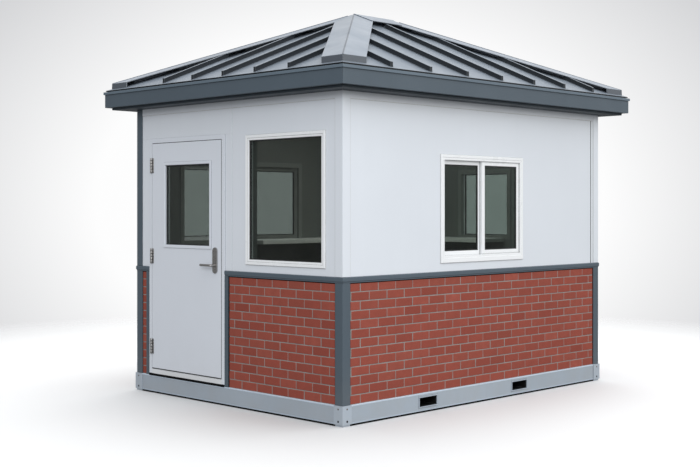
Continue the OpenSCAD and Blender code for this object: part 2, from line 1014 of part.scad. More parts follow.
module sash(w, h) {
  mid = -sash_t * half;
  groove = rail_w - pane_bite - groove_clear;
  groove_half = pane_t * half + groove_clear;
  difference() {
    rect_block(w, h, [
      [0, -sash_t],
      [0, 0]]);
    rect_block(w, h, [
      [rail_w, -sash_t - over],
      [rail_w, mid - groove_half],
      [groove, mid - groove_half],
      [groove, mid + groove_half],
      [rail_w, mid + groove_half],
      [rail_w, -bevel],
      [rail_w - bevel, 0],
      [rail_w - bevel, over]]);
  }
}

module sash_pane(w, h) {
  gw = w - 2 * (rail_w - pane_bite);
  gh = h - 2 * (rail_w - pane_bite);
  wall_box(
    -gw * half, gw * half,
    -gh * half, gh * half,
    -(sash_t + pane_t) * half, -(sash_t - pane_t) * half);
}

// The outer sash slides in the front track, on the right; the other runs behind it
module at_sashes(w) {
  translate([sash_x(w, 1), sill_extra * half, -sash_set - sash_clear])
    children();
  translate([sash_x(w, -1), sill_extra * half, -sash_set - sash_clear - sash_t - sash_split])
    children();
}

module at_front_win() {
  on_side(0)
    translate([front_win_x, front_win_y, 0])
      children();
}

module at_right_win() {
  on_side(1)
    translate([-right_win_shift, right_win_y, 0])
      children();
}

module at_rear_win() {
  on_side(2)
    translate([0, rear_win_y, 0])
      children();
}

module at_left_win() {
  on_side(3)
    translate([left_win_shift, left_win_y, 0])
      children();
}

module front_window_frame() {
  color(white)
    at_front_win()
      fixed_frame(front_win_w, front_win_h);
}

module front_window_glass() {
  color(tint)
    at_front_win()
      fixed_pane(front_win_w, front_win_h);
}

module right_window_frame() {
  color(white)
    at_right_win()
      slide_frame(right_win_w, right_win_h);
}

module right_window_sashes() {
  color(white)
    at_right_win()
      at_sashes(right_win_w)
        sash(sash_w(right_win_w), sash_h(right_win_h));
}

module right_window_glass() {
  color(tint)
    at_right_win()
      at_sashes(right_win_w)
        sash_pane(sash_w(right_win_w), sash_h(right_win_h));
}

module rear_window_frame() {
  color(white)
    at_rear_win()
      fixed_frame(rear_win_w, rear_win_h);
}

module rear_window_glass() {
  color(tint)
    at_rear_win()
      fixed_pane(rear_win_w, rear_win_h);
}

module left_window_frame() {
  color(white)
    at_left_win()
      slide_frame(left_win_w, left_win_h);
}

module left_window_sashes() {
  color(white)
    at_left_win()
      at_sashes(left_win_w)
        sash(sash_w(left_win_w), sash_h(left_win_h));
}

module left_window_glass() {
  color(tint)
    at_left_win()
      at_sashes(left_win_w)
        sash_pane(sash_w(left_win_w), sash_h(left_win_h));
}

// Inside

// Room for a window's casing on the inside of a wall
module casing_cut(w, h) {
  wall_box(
    -w * half - casing_gap, w * half + casing_gap,
    -h * half - casing_gap, h * half + casing_gap,
    -wall_t - inner_casing - casing_gap, -wall_t + over);
}

module counter() {
  color(deck_wood)
    difference() {
      translate([0, 0, counter_z - counter_t])
        linear_extrude(height = counter_t)
          polygon([
            [-inner_w * half, -counter_front],
            [-inner_w * half + counter_d, -counter_front],
            [-inner_w * half + counter_d, inner_d * half - counter_d],
            [counter_end, inner_d * half - counter_d],
            [counter_end, inner_d * half],
            [-inner_w * half, inner_d * half]]);
      at_left_win()
        casing_cut(left_win_w, left_win_h);
      at_rear_win()
        casing_cut(rear_win_w, rear_win_h);
    }
}

// Eaves

module soffit_boards() {
  color(slate)
    translate([0, 0, soffit_z])
      mitred_ring(2 * (eave_w - soffit_inset), 2 * (eave_d - soffit_inset), [
        [0, 0],
        [overhang - soffit_inset, 0],
        [overhang - soffit_inset, soffit_t],
        [0, soffit_t]],
        overhang - soffit_inset, mitre_gap);
}

module fascia_boards() {
  color(slate)
    translate([0, 0, fascia_z])
      mitred_ring(2 * eave_w, 2 * eave_d, [
        [0, 0],
        [fascia_flange, 0],
        [fascia_flange, fascia_t],
        [fascia_t, fascia_t],
        [fascia_t, fascia_h - drip_wrap - fascia_t],
        [fascia_flange, fascia_h - drip_wrap - fascia_t],
        [fascia_flange, fascia_h - drip_wrap],
        [0, fascia_h - drip_wrap]],
        fascia_flange, mitre_gap);
}

module drip_edges() {
  color(grey)
    translate([0, 0, fascia_top])
      mitred_ring(2 * (eave_w + drip_proud), 2 * (eave_d + drip_proud), [
        [0, 0],
        [0, -drip_h],
        [drip_proud, -drip_h],
        [drip_proud, -drip_wrap],
        [drip_proud + fascia_flange, -drip_wrap],
        [drip_proud + fascia_flange, 0]],
        drip_proud + fascia_flange, mitre_gap);
}

// Roof. Each slope is drawn with x along its eave, y in from the edge of the sheet and z up

module on_slope(side) {
  rotate([0, 0, 90 * side])
    translate([0, -edge_of(side), 0])
      children();
}

// Everything between two heights above and below the face of a slope
module slope_layer(side, low, high) {
  run = run_of(side);
  width = 2 * eave_half(side) + 2 * over;
  rotate([90, 0, 90])
    translate([0, 0, -width * half])
      linear_extrude(height = width)
        polygon([
          [0, edge_z + low],
          [run, ridge_z + low],
          [run, ridge_z + high],
          [0, edge_z + high]]);
}

// Upright prism over an outline in a slope's own plan
module plan_prism(points, low, high) {
  translate([0, 0, low])
    linear_extrude(height = high - low)
      polygon(points);
}

function slope_plan(side) = is_end(side)
  ? [[-eave_half(side), 0], [eave_half(side), 0], [0, run_of(side)]]
  : [
    [-eave_half(side), 0],
    [eave_half(side), 0],
    [top_half(side), run_of(side)],
    [-top_half(side), run_of(side)]];

// Half length of the closure under the edge of a slope
function closure_half(side) = eave_half(side) - mitre_gap
  - (closure_in + closure_w) * max(1, (eave_half(side) - top_half(side)) / run_of(side));

// Length of a seam up to a lap under the caps, at x along the eave
function hip_y(side, x) = run_of(side)
  * min(1, (eave_half(side) - abs(x)) / (eave_half(side) - top_half(side)));
function hip_len(side) = norm([eave_half(side) - top_half(side), run_of(side)]);
function cap_rise(side) = cap_w * hip_len(side) / (eave_half(side) - top_half(side));
function seam_end(side, x) = min(run_of(side) - cap_w, hip_y(side, x) - cap_rise(side)) + seam_lap;

module roof_slope(side) {
  count = is_end(side) ? end_seams : side_seams;
  pitch = is_end(side) ? end_pitch : side_pitch;
  shift = is_end(side) ? end_shift : 0;
  color(grey)
    on_slope(side)
      union() {
        intersection() {
          slope_layer(side, -sheet_t, 0);
          plan_prism(slope_plan(side), fascia_top, ridge_top);
        }
        for (i = [0:count - 1]) {
          x = shift + (i - (count - 1) * half) * pitch;
          if (seam_end(side, x) > seam_start + seam_w)
            intersection() {
              slope_layer(side, -sheet_t * bed_share, seam_h);
              plan_prism([
                [x - seam_w * half, seam_start],
                [x + seam_w * half, seam_start],
                [x + seam_w * half, seam_end(side, x)],
                [x - seam_w * half, seam_end(side, x)]],
                fascia_top, ridge_top);
            }
        }
        intersection() {
          slope_layer(side, -closure_deep, -sheet_t * bed_share);
          plan_prism([
            [-closure_half(side), closure_in],
            [closure_half(side), closure_in],
            [closure_half(side), closure_in + closure_w],
            [-closure_half(side), closure_in + closure_w]],
            fascia_top, ridge_top);
        }
      }
}

module roof_front() {
  roof_slope(0);
}

module roof_right() {
  roof_slope(1);
}

module roof_rear() {
  roof_slope(2);
}

module roof_left() {
  roof_slope(3);
}

// Everything under a hipped roof whose faces lie a given height above the sheets
module hip_solid(lift) {
  intersection() {
    rotate([90, 0, 0])
      translate([0, 0, -sheet_d])
        linear_extrude(height = 2 * sheet_d)
          polygon([
            [-sheet_w, fascia_z],
            [sheet_w, fascia_z],
            [sheet_w, edge_z + lift],
            [0, ridge_z + lift],
            [-sheet_w, edge_z + lift]]);
    rotate([90, 0, 90])
      translate([0, 0, -sheet_w])
        linear_extrude(height = 2 * sheet_w)
          polygon([
            [-sheet_d, fascia_z],
            [sheet_d, fascia_z],
            [sheet_d, edge_z + lift],
            [ridge_half, ridge_z + lift],
            [-ridge_half, ridge_z + lift],
            [-sheet_d, edge_z + lift]]);
  }
}

// Outline of a hip cap from above: ends along both eaves, sides along the hip
hip_run = sheet_d - ridge_half;
hip_long = norm([sheet_w, hip_run]);
hip_a = sheet_w / hip_long;
hip_b = hip_run / hip_long;
end_cut = (cap_start + cap_w * hip_a) / hip_b;
side_cut = (cap_start + cap_w * hip_b) / hip_a;
mid_cut = (sheet_w - cap_w * hip_b - cap_split) / hip_a;
tip_y = ridge_half - cap_nose;
cap_plan = [
  [sheet_w - cap_start, sheet_d - cap_start],
  [sheet_w - cap_w * hip_b - end_cut * hip_a, sheet_d - cap_start],
  [cap_split, sheet_d + cap_w * hip_a - mid_cut * hip_b],
  [cap_split, tip_y],
  [cap_split + cap_w * hip_b, tip_y - cap_w * hip_a],
  [sheet_w - cap_start, sheet_d - cap_w * hip_a - side_cut * hip_b]];

module hip_caps() {
  inside_w = sheet_w - cap_start - cap_t;
  inside_d = sheet_d - cap_start - cap_t;
  color(grey)
    intersection() {
      difference() {
        hip_solid(seam_h + cap_t);
        hip_solid(0);
        intersection() {
          hip_solid(seam_h);
          translate([-inside_w, -inside_d, fascia_z])
            cube([2 * inside_w, 2 * inside_d, ridge_top]);
        }
      }
      for (sx = [-1, 1])
        for (sy = [-1, 1])
          scale([sx, sy, 1])
            plan_prism(cap_plan, fascia_z, ridge_top + closure_deep);
    }
}

module ridge_cap() {
  color(grey)
    union()
      for (side = [1, 3])
        on_slope(side)
          intersection() {
            slope_layer(side, seam_h + cap_t, seam_h + 2 * cap_t);
            plan_prism([
              [-ridge_half + ridge_lap, run_of(side) - cap_w],
              [ridge_half - ridge_lap, run_of(side) - cap_w],
              [ridge_half, run_of(side)],
              [-ridge_half, run_of(side)]],
              fascia_top, ridge_top + over);
          }
}

base_end_beams();
base_side_beams();
corner_feet();
fork_pockets();
floor_deck();
front_brick_panels();
right_brick_panel();
rear_brick_panel();
left_brick_panel();
front_wall_door_sides();
front_wall_over_door();
front_wall_window_side();
right_wall();
rear_wall();
left_wall();
ceiling_panel();
belt_rails();
dark_corner_trims();
white_corner_trims();
door_side_trims();
door_frame();
door_threshold();
door_leaf();
door_glass();
door_beads();
hinge_frame_halves();
hinge_leaf_halves();
lock_plates();
door_lever();
front_window_frame();
front_window_glass();
right_window_frame();
right_window_sashes();
right_window_glass();
rear_window_frame();
rear_window_glass();
left_window_frame();
left_window_sashes();
left_window_glass();
counter();
soffit_boards();
fascia_boards();
drip_edges();
roof_front();
roof_right();
roof_rear();
roof_left();
hip_caps();
ridge_cap();
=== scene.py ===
"""Guard booth: materials, bricks, seals, fasteners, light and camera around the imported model.

Metres, +Z up, ground at zero, the door faces -Y. A place on a wall is given as u along it
(to the right, seen from outside), z up, and w out from the wall's face.
"""
import math
import random

import bmesh
import bpy
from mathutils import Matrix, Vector, noise


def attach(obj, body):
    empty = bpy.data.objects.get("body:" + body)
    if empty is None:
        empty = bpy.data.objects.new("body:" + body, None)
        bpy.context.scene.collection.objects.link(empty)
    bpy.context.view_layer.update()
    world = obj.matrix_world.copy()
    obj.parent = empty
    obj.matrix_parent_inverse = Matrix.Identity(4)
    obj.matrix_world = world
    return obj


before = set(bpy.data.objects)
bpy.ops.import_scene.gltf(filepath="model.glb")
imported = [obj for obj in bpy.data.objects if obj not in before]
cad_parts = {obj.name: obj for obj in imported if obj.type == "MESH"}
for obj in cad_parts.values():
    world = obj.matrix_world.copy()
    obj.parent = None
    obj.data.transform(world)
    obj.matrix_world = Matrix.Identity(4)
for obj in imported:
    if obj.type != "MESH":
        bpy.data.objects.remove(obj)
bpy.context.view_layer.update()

FRONT, RIGHT, REAR, LEFT = range(4)
# Half width and depth over the outer faces of the walls, and the thickness of the walls
HALF_W, HALF_D, WALL = 1.3375, 1.75, 0.075
# Inner edges of the corner trims, and the edges of the brickwork beside the door
CORNER_W, CORNER_D = 1.2585, 1.671
DOOR_LEFT, DOOR_RIGHT = -1.1895, -0.0245
# Lower edges of the white walls and of the strip along their top
WALL_LOW, STRIP_LOW = 1.1445, 2.516
# Signs of the corners of a rectangle, in turn
CORNERS = ((-1, -1), (1, -1), (1, 1), (-1, 1))


def on_wall(side, u, z, w):
    """Point in the row frame of a place on a wall."""
    off = (HALF_D if side % 2 == 0 else HALF_W) + w
    return ((u, -off, z), (off, u, z), (-u, off, z), (-off, -u, z))[side]


# Materials

# Light colour of the grey steel's edges, partly rubbed paint and partly a painted highlight
BRIGHT = (0.62, 0.65, 0.68)
SLATE = (0.087, 0.113, 0.138)
STEEL_GREY = (0.385, 0.435, 0.495)
# Darker colour painted on the room's side of the walls as shade
ROOM_SHADE = (0.185, 0.19, 0.18)
DUST = (0.36, 0.33, 0.29)
DUST_LOW, DUST_HIGH = 0.02, 0.55
# Upward share of a face's normal up to which it is upright, and from which it is flat
STEEP, FLAT = 0.3, 0.6
# Distances from the middle between which the painted shade inside the fork pockets turns to paint
POCKET_SHADE = (0.008, 0.008, 0.008)
POCKET_IN, POCKET_OUT = 1.334, 1.345
# Half the width over which the painted shade on the room's side and the bands of painted light and shade
# begin
ROOM_BLEND, BAND_BLEND = 0.002, 0.0006


class Graph:
    """The node tree of a material or a world, with short calls for the nodes used here."""

    def __init__(self, owner):
        owner.use_nodes = True
        self.owner = owner
        self.tree = owner.node_tree

    def node(self, kind, **settings):
        n = self.tree.nodes.new(kind)
        for key, value in settings.items():
            setattr(n, key, value)
        return n

    def put(self, socket, value):
        """Links an output to a socket, or sets the socket's own value."""
        if isinstance(value, bpy.types.NodeSocket):
            self.tree.links.new(value, socket)
        else:
            socket.default_value = value

    def place(self, stretch=(1, 1, 1)):
        coord = self.node("ShaderNodeTexCoord").outputs["Object"]
        if stretch == (1, 1, 1):
            return coord
        m = self.node("ShaderNodeMapping")
        m.inputs["Scale"].default_value = stretch
        self.put(m.inputs["Vector"], coord)
        return m.outputs["Vector"]

    def split(self, vector):
        n = self.node("ShaderNodeSeparateXYZ")
        self.put(n.inputs[0], vector)
        return n.outputs

    def noise(self, scale, detail=3.0, rough=0.55, stretch=(1, 1, 1), warp=0.0):
        n = self.node("ShaderNodeTexNoise")
        self.put(n.inputs["Vector"], self.place(stretch))
        n.inputs["Scale"].default_value = scale
        n.inputs["Detail"].default_value = detail
        n.inputs["Roughness"].default_value = rough
        n.inputs["Distortion"].default_value = warp
        return n.outputs[0]

    def cells(self, scale):
        n = self.node("ShaderNodeTexVoronoi")
        self.put(n.inputs["Vector"], self.place())
        n.inputs["Scale"].default_value = scale
        return n.outputs["Distance"]

    def spread(self, value, low, high, start=0.3, end=0.7):
        """Stretches a value between start and end to a new range."""
        n = self.node("ShaderNodeMapRange")
        self.put(n.inputs["Value"], value)
        for key, v in (("From Min", start), ("From Max", end), ("To Min", low), ("To Max", high)):
            n.inputs[key].default_value = v
        return n.outputs["Result"]

    def math(self, operation, a, b=0.5):
        n = self.node("ShaderNodeMath", operation=operation)
        self.put(n.inputs[0], a)
        self.put(n.inputs[1], b)
        return n.outputs[0]

    def vector(self, operation, a, b=(0, 0, 0)):
        """Number that a vector operation gives."""
        n = self.node("ShaderNodeVectorMath", operation=operation)
        self.put(n.inputs[0], a)
        self.put(n.inputs[1], b)
        return n.outputs["Value"]

    def mix(self, factor, a, b):
        n = self.node("ShaderNodeMix", data_type="RGBA")
        self.put(n.inputs[0], factor)
        for socket, colour in ((n.inputs[6], a), (n.inputs[7], b)):
            self.put(socket, colour if isinstance(colour, bpy.types.NodeSocket) else (*colour, 1.0))
        return n.outputs[2]

    def blend(self, factor, a, b):
        """Shader between two others."""
        n = self.node("ShaderNodeMixShader")
        for socket, value in zip(n.inputs, (factor, a, b)):
            self.put(socket, value)
        return n.outputs[0]

    def ramp(self, value, stops):
        n = self.node("ShaderNodeValToRGB")
        self.put(n.inputs["Fac"], value)
        marks = n.color_ramp.elements
        while len(marks) < len(stops):
            marks.new(0.5)
        for mark, (at, colour) in zip(marks, stops):
            mark.position = at
            mark.color = (*colour, 1.0)
        return n.outputs["Color"]

    def attribute(self, name):
        return self.node("ShaderNodeAttribute", attribute_name=name).outputs["Fac"]

    def height(self):
        """Height above the ground."""
        return self.split(self.place())["Z"]

    def level(self):
        """One on flat ground, nought on an upright face."""
        normal = self.node("ShaderNodeNewGeometry").outputs["True Normal"]
        return self.math("ABSOLUTE", self.split(normal)["Z"])

    def edges(self, radius):
        """One along edges within the radius, nought on flat faces."""
        soft = self.node("ShaderNodeBevel", samples=4)
        soft.inputs["Radius"].default_value = radius
        flat = self.node("ShaderNodeNewGeometry").outputs["True Normal"]
        return self.spread(self.vector("DOT_PRODUCT", soft.outputs["Normal"], flat), 1.0, 0.0, 0.8, 0.995)

    def occlusion_shade(self, reach):
        """Ambient occlusion as a mask for painted shade: nought in the open, one deep in corners, joints
        and gaps narrower than the reach.
        """
        n = self.node("ShaderNodeAmbientOcclusion", samples=6)
        n.inputs["Distance"].default_value = reach
        return self.spread(n.outputs["AO"], 1.0, 0.0, 0.35, 0.95)

    def axis(self, name):
        """Distance from the middle of the booth along one axis."""
        return self.math("ABSOLUTE", self.split(self.place())[name])

    def indoors(self):
        """One on the room's side of the middle of the walls, nought on the outer side."""
        across, along = (self.spread(self.axis(name), 1, 0, middle - ROOM_BLEND, middle + ROOM_BLEND)
                         for name, middle in (("X", HALF_W - WALL / 2), ("Y", HALF_D - WALL / 2)))
        return self.math("MULTIPLY", across, along)

    def bump(self, value, distance, strength=1.0, after=None):
        n = self.node("ShaderNodeBump")
        self.put(n.inputs["Height"], value)
        n.inputs["Distance"].default_value = distance
        n.inputs["Strength"].default_value = strength
        if after is not None:
            self.put(n.inputs["Normal"], after)
        return n.outputs["Normal"]

    def surface(self, colour, rough, normal=None, metallic=0.0, specular=0.5):
        """Sets the material's own shader."""
        shader = self.tree.nodes["Principled BSDF"]
        self.put(shader.inputs["Base Color"], colour)
        self.put(shader.inputs["Roughness"], rough)
        shader.inputs["Metallic"].default_value = metallic
        shader.inputs["Specular IOR Level"].default_value = specular
        if normal is not None:
            self.put(shader.inputs["Normal"], normal)
        return self.owner

    def show(self, shader):
        """Puts another shader in place of the material's own."""
        self.put(self.tree.nodes["Material Output"].inputs["Surface"], shader)
        return self.owner


def new_graph(name):
    return Graph(bpy.data.materials.new(name))


def shade(colour, factor):
    return tuple(min(1.0, c * factor) for c in colour)


def painted(name, colour, rough, tone=0.05, peel=0.00004, wear_and_highlight=None, dust=0.0, specular=0.5,
            upright=1.0, painted_light_bands=(), crevice_shade=None, inside_shade=None, pocket_shade=False):
    """Painted or coated sheet metal: broad tone, faint runs and the fine texture of the coat.

    wear_and_highlight gives the reach, colour and strength of lighter edges, partly rubbed paint
    and partly a painted highlight; crevice_shade the reach and share of colour left in corners as
    painted shade; upright the share of colour on steep faces, as painted shade; inside_shade the
    darker colour painted on the room's side as shade; and each of the painted_light_bands a lower
    and upper height with its share of colour, a painted highlight above one and a painted shadow below.
    """
    g = new_graph(name)
    broad = g.noise(1.1, 4)
    runs = g.noise(1.0, 5, 0.6, (14, 14, 0.5))
    fine = g.noise(520, 2)
    base = g.mix(g.spread(broad, 0, 1), shade(colour, 1 - tone), shade(colour, 1 + tone * 0.6))
    base = g.mix(g.spread(runs, 0, 0.5, 0.45, 0.8), base, shade(colour, 1 - tone))
    # Painted shade on steep faces
    if upright < 1.0:
        base = g.mix(g.spread(g.level(), 1, 0, STEEP, FLAT), base, shade(colour, upright))
    # Painted shade on the room's side
    if inside_shade:
        base = g.mix(g.indoors(), base, g.mix(g.spread(broad, 0, 1), inside_shade, shade(inside_shade, 0.92)))
    # Painted shade inside the fork pockets
    if pocket_shade:
        base = g.mix(g.spread(g.axis("X"), 1, 0, POCKET_IN, POCKET_OUT), base, POCKET_SHADE)
    # Painted shade in corners, joints and gaps
    if crevice_shade:
        reach, keep = crevice_shade
        base = g.mix(g.occlusion_shade(reach), base, shade(colour, keep))
    if dust:
        near_ground = g.spread(g.height(), 1, 0, DUST_LOW, DUST_HIGH)
        base = g.mix(g.math("MULTIPLY", near_ground, g.spread(g.noise(5, 6), 0, dust)), base, DUST)
    # Lighter edges: partly rubbed paint, partly a painted highlight
    if wear_and_highlight:
        radius, worn_and_lit, amount = wear_and_highlight
        edge_wear_and_highlight = g.math("MULTIPLY", g.edges(radius), g.spread(g.noise(38, 5), 0.15, amount))
        base = g.mix(edge_wear_and_highlight, base, worn_and_lit)
    # Bands of painted highlight and painted shadow by height
    for low, high, share in painted_light_bands:
        above = g.spread(g.height(), 0, 1, low - BAND_BLEND, low + BAND_BLEND)
        below = g.spread(g.height(), 1, 0, high - BAND_BLEND, high + BAND_BLEND)
        base = g.mix(g.math("MULTIPLY", above, below), base, shade(colour, share))
    gloss = g.spread(g.noise(3.2, 5), rough - 0.07, rough + 0.07)
    return g.surface(base, gloss, g.bump(fine, peel), specular=specular)


def brushed(name, colour, rough, stretch):
    g = new_graph(name)
    lines = g.noise(1.0, 6, 0.7, stretch)
    base = g.mix(g.spread(lines, 0, 1), shade(colour, 0.82), shade(colour, 1.08))
    base = g.mix(g.spread(g.noise(24, 4), 0, 0.4, 0.5, 0.8), base, shade(colour, 0.6))
    gloss = g.spread(lines, rough - 0.08, rough + 0.1)
    return g.surface(base, gloss, g.bump(lines, 0.00003), metallic=1.0)


def make_brick():
    """Fired clay: a tone for each brick, clouds, dark and pale grit, and rims painted lighter and redder
    as a highlight on the bricks' edges.
    """
    g = new_graph("brick")
    base = g.ramp(g.attribute("tone"), (
        (0.0, (0.235, 0.053, 0.037)), (0.25, (0.285, 0.065, 0.046)), (0.5, (0.325, 0.076, 0.053)),
        (0.75, (0.36, 0.088, 0.062)), (1.0, (0.40, 0.106, 0.076))))
    base = g.mix(g.spread(g.attribute("warm"), 0, 0.22, 0.5, 1.0), base, (0.315, 0.105, 0.075))
    clouds = g.noise(17, 5, 0.6)
    base = g.mix(g.spread(clouds, 0, 0.5), base, (0.25, 0.066, 0.048))
    grit = g.noise(330, 3, 0.7)
    base = g.mix(g.spread(grit, 0.0, 0.45, 0.52, 0.75), base, (0.16, 0.05, 0.04))
    base = g.mix(g.spread(g.noise(610, 2), 0.0, 0.5, 0.62, 0.8), base, (0.52, 0.29, 0.22))
    # Painted highlight along the edges of each brick
    rim = g.spread(g.attribute("rim"), 0.0, 0.85, 0.0, 1.0)
    base = g.mix(g.math("MULTIPLY", rim, g.spread(g.noise(60, 4), 0.2, 1.0)), base, (0.46, 0.115, 0.072))
    normal = g.bump(grit, 0.0006, 0.6, g.bump(g.noise(70, 5, 0.65), 0.0012, 0.5))
    return g.surface(base, g.spread(clouds, 0.8, 0.95), normal, specular=0.12)


def make_mortar():
    """Sandy mortar outside, and on the room's side of the brick panels a smooth lining in a darker colour
    painted there as shade.
    """
    g = new_graph("mortar")
    base = g.mix(g.spread(g.noise(9, 5), 0, 1), (0.238, 0.23, 0.22), (0.325, 0.315, 0.303))
    sand = g.noise(700, 3, 0.7)
    base = g.mix(g.spread(sand, 0, 0.6, 0.5, 0.8), base, (0.19, 0.18, 0.172))
    # The room's side darkened as painted shade
    inner_shade = g.mix(g.spread(g.noise(1.1, 4), 0, 1), ROOM_SHADE, shade(ROOM_SHADE, 0.92))
    base = g.mix(g.indoors(), base, inner_shade)
    rough = g.spread(g.indoors(), 0.92, 0.45, 0.0, 1.0)
    grain = g.math("MULTIPLY", sand, g.spread(g.indoors(), 1.0, 0.05, 0.0, 1.0))
    return g.surface(base, rough, g.bump(grain, 0.0008, 0.7), specular=0.2)


def make_glass(name, tint):
    """Tinted pane: most light passes, the rest is a clean reflection, with a thin film of dust."""
    g = new_graph(name)
    g.tree.nodes.remove(g.tree.nodes["Principled BSDF"])
    through = g.node("ShaderNodeBsdfTransparent")
    through.inputs["Color"].default_value = (*tint, 1)
    mirror = g.node("ShaderNodeBsdfGlossy")
    g.put(mirror.inputs["Roughness"], g.spread(g.noise(4, 4), 0.01, 0.05))
    mirror.inputs["Color"].default_value = (0.9, 0.95, 0.95, 1)
    film = g.node("ShaderNodeBsdfDiffuse")
    film.inputs["Color"].default_value = (0.45, 0.46, 0.44, 1)
    facing = g.node("ShaderNodeLayerWeight")
    facing.inputs["Blend"].default_value = 0.5
    glance = g.spread(g.math("POWER", facing.outputs["Facing"], 5.0), 0.014, 0.8, 0.0, 1.0)
    clear = g.blend(glance, through.outputs[0], mirror.outputs[0])
    return g.show(g.blend(g.spread(g.noise(7, 6, 0.65), 0.0, 0.018), clear, film.outputs[0]))


def make_wood(name, dark, light, scale):
    g = new_graph(name)
    grain = g.noise(scale, 6, 0.6, (1, 0.06, 1), 0.8)
    base = g.mix(g.spread(grain, 0, 1), dark, light)
    base = g.mix(g.spread(g.noise(2.5, 4), 0, 0.4), base, shade(dark, 0.8))
    return g.surface(base, g.spread(grain, 0.45, 0.65), g.bump(grain, 0.0003, 0.4))


def make_laminate():
    g = new_graph("counter_laminate")
    flecks = g.cells(260)
    base = g.mix(g.spread(g.noise(3, 4), 0, 1), (0.74, 0.74, 0.71), (0.84, 0.84, 0.81))
    base = g.mix(g.spread(flecks, 0.5, 0, 0.05, 0.3), base, (0.62, 0.62, 0.6))
    return g.surface(base, g.spread(flecks, 0.32, 0.42), g.bump(g.noise(400, 2), 0.00004))


def make_rubber(name, dark, light, specular):
    """Rubber, foam or caulk, between two greys."""
    g = new_graph(name)
    base = g.mix(g.spread(g.noise(30, 4), 0, 1), (dark,) * 3, (light,) * 3)
    normal = g.bump(g.noise(900, 2), 0.0001)
    return g.surface(base, g.spread(g.noise(90, 3), 0.5, 0.7), normal, specular=specular)


# White walls: corners and joints darkened, and the room's side darker, as painted shade
white_panel = painted("white_panel", (0.765, 0.793, 0.842), 0.42, tone=0.02, crevice_shade=(0.006, 0.55),
                      inside_shade=ROOM_SHADE)
ceiling_white = painted("ceiling_white", (0.5, 0.48, 0.43), 0.55, tone=0.03)
door_white = painted("door_white", (0.76, 0.787, 0.845), 0.38, tone=0.02, dust=0.12, crevice_shade=(0.008, 0.4))
# Window frames: the room's side darker as painted shade
window_white = painted("window_white", (0.93, 0.935, 0.945), 0.32, tone=0.0, peel=0.00002,
                       crevice_shade=(0.016, 0.35), inside_shade=shade(ROOM_SHADE, 1.4))
# Belt rails: the slate a little lighter as a painted highlight on their bevels
lit_belt_slate = painted("lit_belt_slate", shade(SLATE, 1.05), 0.45, tone=0.08, crevice_shade=(0.01, 0.5),
                     wear_and_highlight=(0.004, shade(SLATE, 1.7), 0.6), specular=0.28)
trim_slate = painted("trim_slate", SLATE, 0.45, tone=0.08, crevice_shade=(0.01, 0.5), dust=0.15,
                     wear_and_highlight=(0.004, shade(SLATE, 1.6), 0.5), specular=0.28)
eave_slate = painted("eave_slate", SLATE, 0.45, tone=0.07, crevice_shade=(0.012, 0.4),
                     wear_and_highlight=(0.005, shade(SLATE, 1.6), 0.5), specular=0.28)
# Drip edges: the slate lightened as a painted highlight
eave_edge = painted("eave_edge", shade(SLATE, 1.5), 0.4, tone=0.07, crevice_shade=(0.012, 0.3),
                    wear_and_highlight=(0.003, shade(SLATE, 2.2), 0.5), specular=0.28)
# Soffit: the slate darkened as painted shade under the eaves
shaded_soffit_slate = painted("shaded_soffit_slate", shade(SLATE, 0.42), 0.5, tone=0.07, specular=0.2)
# Roof sheets: the sides of the seams darkened as painted shade
roof_paint = painted("roof_paint", (0.262, 0.299, 0.347), 0.36, tone=0.08, peel=0.00005, upright=0.075,
                     crevice_shade=(0.045, 0.15), wear_and_highlight=(0.005, (0.36, 0.40, 0.45), 0.5),
                     # A near-black band along the sheets' lower edge, the painted shadow of the gap over
                     # the drip edge
                     painted_light_bands=((2.7, 2.7515, 0.04),), specular=0.2)
# Caps: their steep faces, such as the noses, darkened as painted shade
cap_paint = painted("cap_paint", (0.255, 0.293, 0.348), 0.36, tone=0.08, peel=0.00005, upright=0.34,
                    crevice_shade=(0.02, 0.3), wear_and_highlight=(0.005, (0.38, 0.42, 0.47), 0.5))
hip_paint = painted("hip_paint", (0.12, 0.14, 0.168), 0.4, tone=0.08,
                    wear_and_highlight=(0.003, (0.2, 0.23, 0.27), 0.4), specular=0.34)
base_paint = painted("base_paint", STEEL_GREY, 0.42, tone=0.06, peel=0.00008, dust=0.25,
                     crevice_shade=(0.012, 0.4), wear_and_highlight=(0.004, BRIGHT, 0.3),
                     # Lips of the flanges lighter as painted highlight
                     painted_light_bands=((0.149, 0.2, 1.75), (-0.1, 0.026, 1.15)))
pocket_paint = painted("pocket_paint", shade(STEEL_GREY, 1.1), 0.45, tone=0.06, pocket_shade=True,
                       wear_and_highlight=(0.004, BRIGHT, 0.4))
block_paint = painted("block_paint", shade(STEEL_GREY, 1.15), 0.42, tone=0.06, peel=0.00008, dust=0.25,
                      wear_and_highlight=(0.005, BRIGHT, 0.5))
threshold_paint = painted("threshold_paint", (0.80, 0.81, 0.83), 0.33, tone=0.05, dust=0.2,
                          wear_and_highlight=(0.004, BRIGHT, 0.7))
steel_brushed = brushed("hardware_steel", (0.40, 0.385, 0.375), 0.27, (900, 900, 12))
rivet_steel = brushed("rivet_steel", (0.21, 0.18, 0.155), 0.5, (400, 400, 400))
glass = make_glass("tinted_glass", (0.578, 0.607, 0.594))
green_glass = make_glass("green_glass", (0.601, 0.655, 0.633))
rubber = make_rubber("black_rubber", 0.012, 0.03, 0.3)
# Near-black foam for pieces that stand in for shade in gaps and holes
shade_foam = make_rubber("black_shade_foam", 0.003, 0.008, 0.06)
# Grey caulk, also used for lines of painted shade along the steps of the window frames
caulk_and_step_shade = make_rubber("grey_caulk_and_step_shade", 0.57, 0.65, 0.3)
brick, mortar = make_brick(), make_mortar()
deck_wood = make_wood("deck_wood", (0.15, 0.115, 0.08), (0.27, 0.21, 0.15), 22)
laminate = make_laminate()

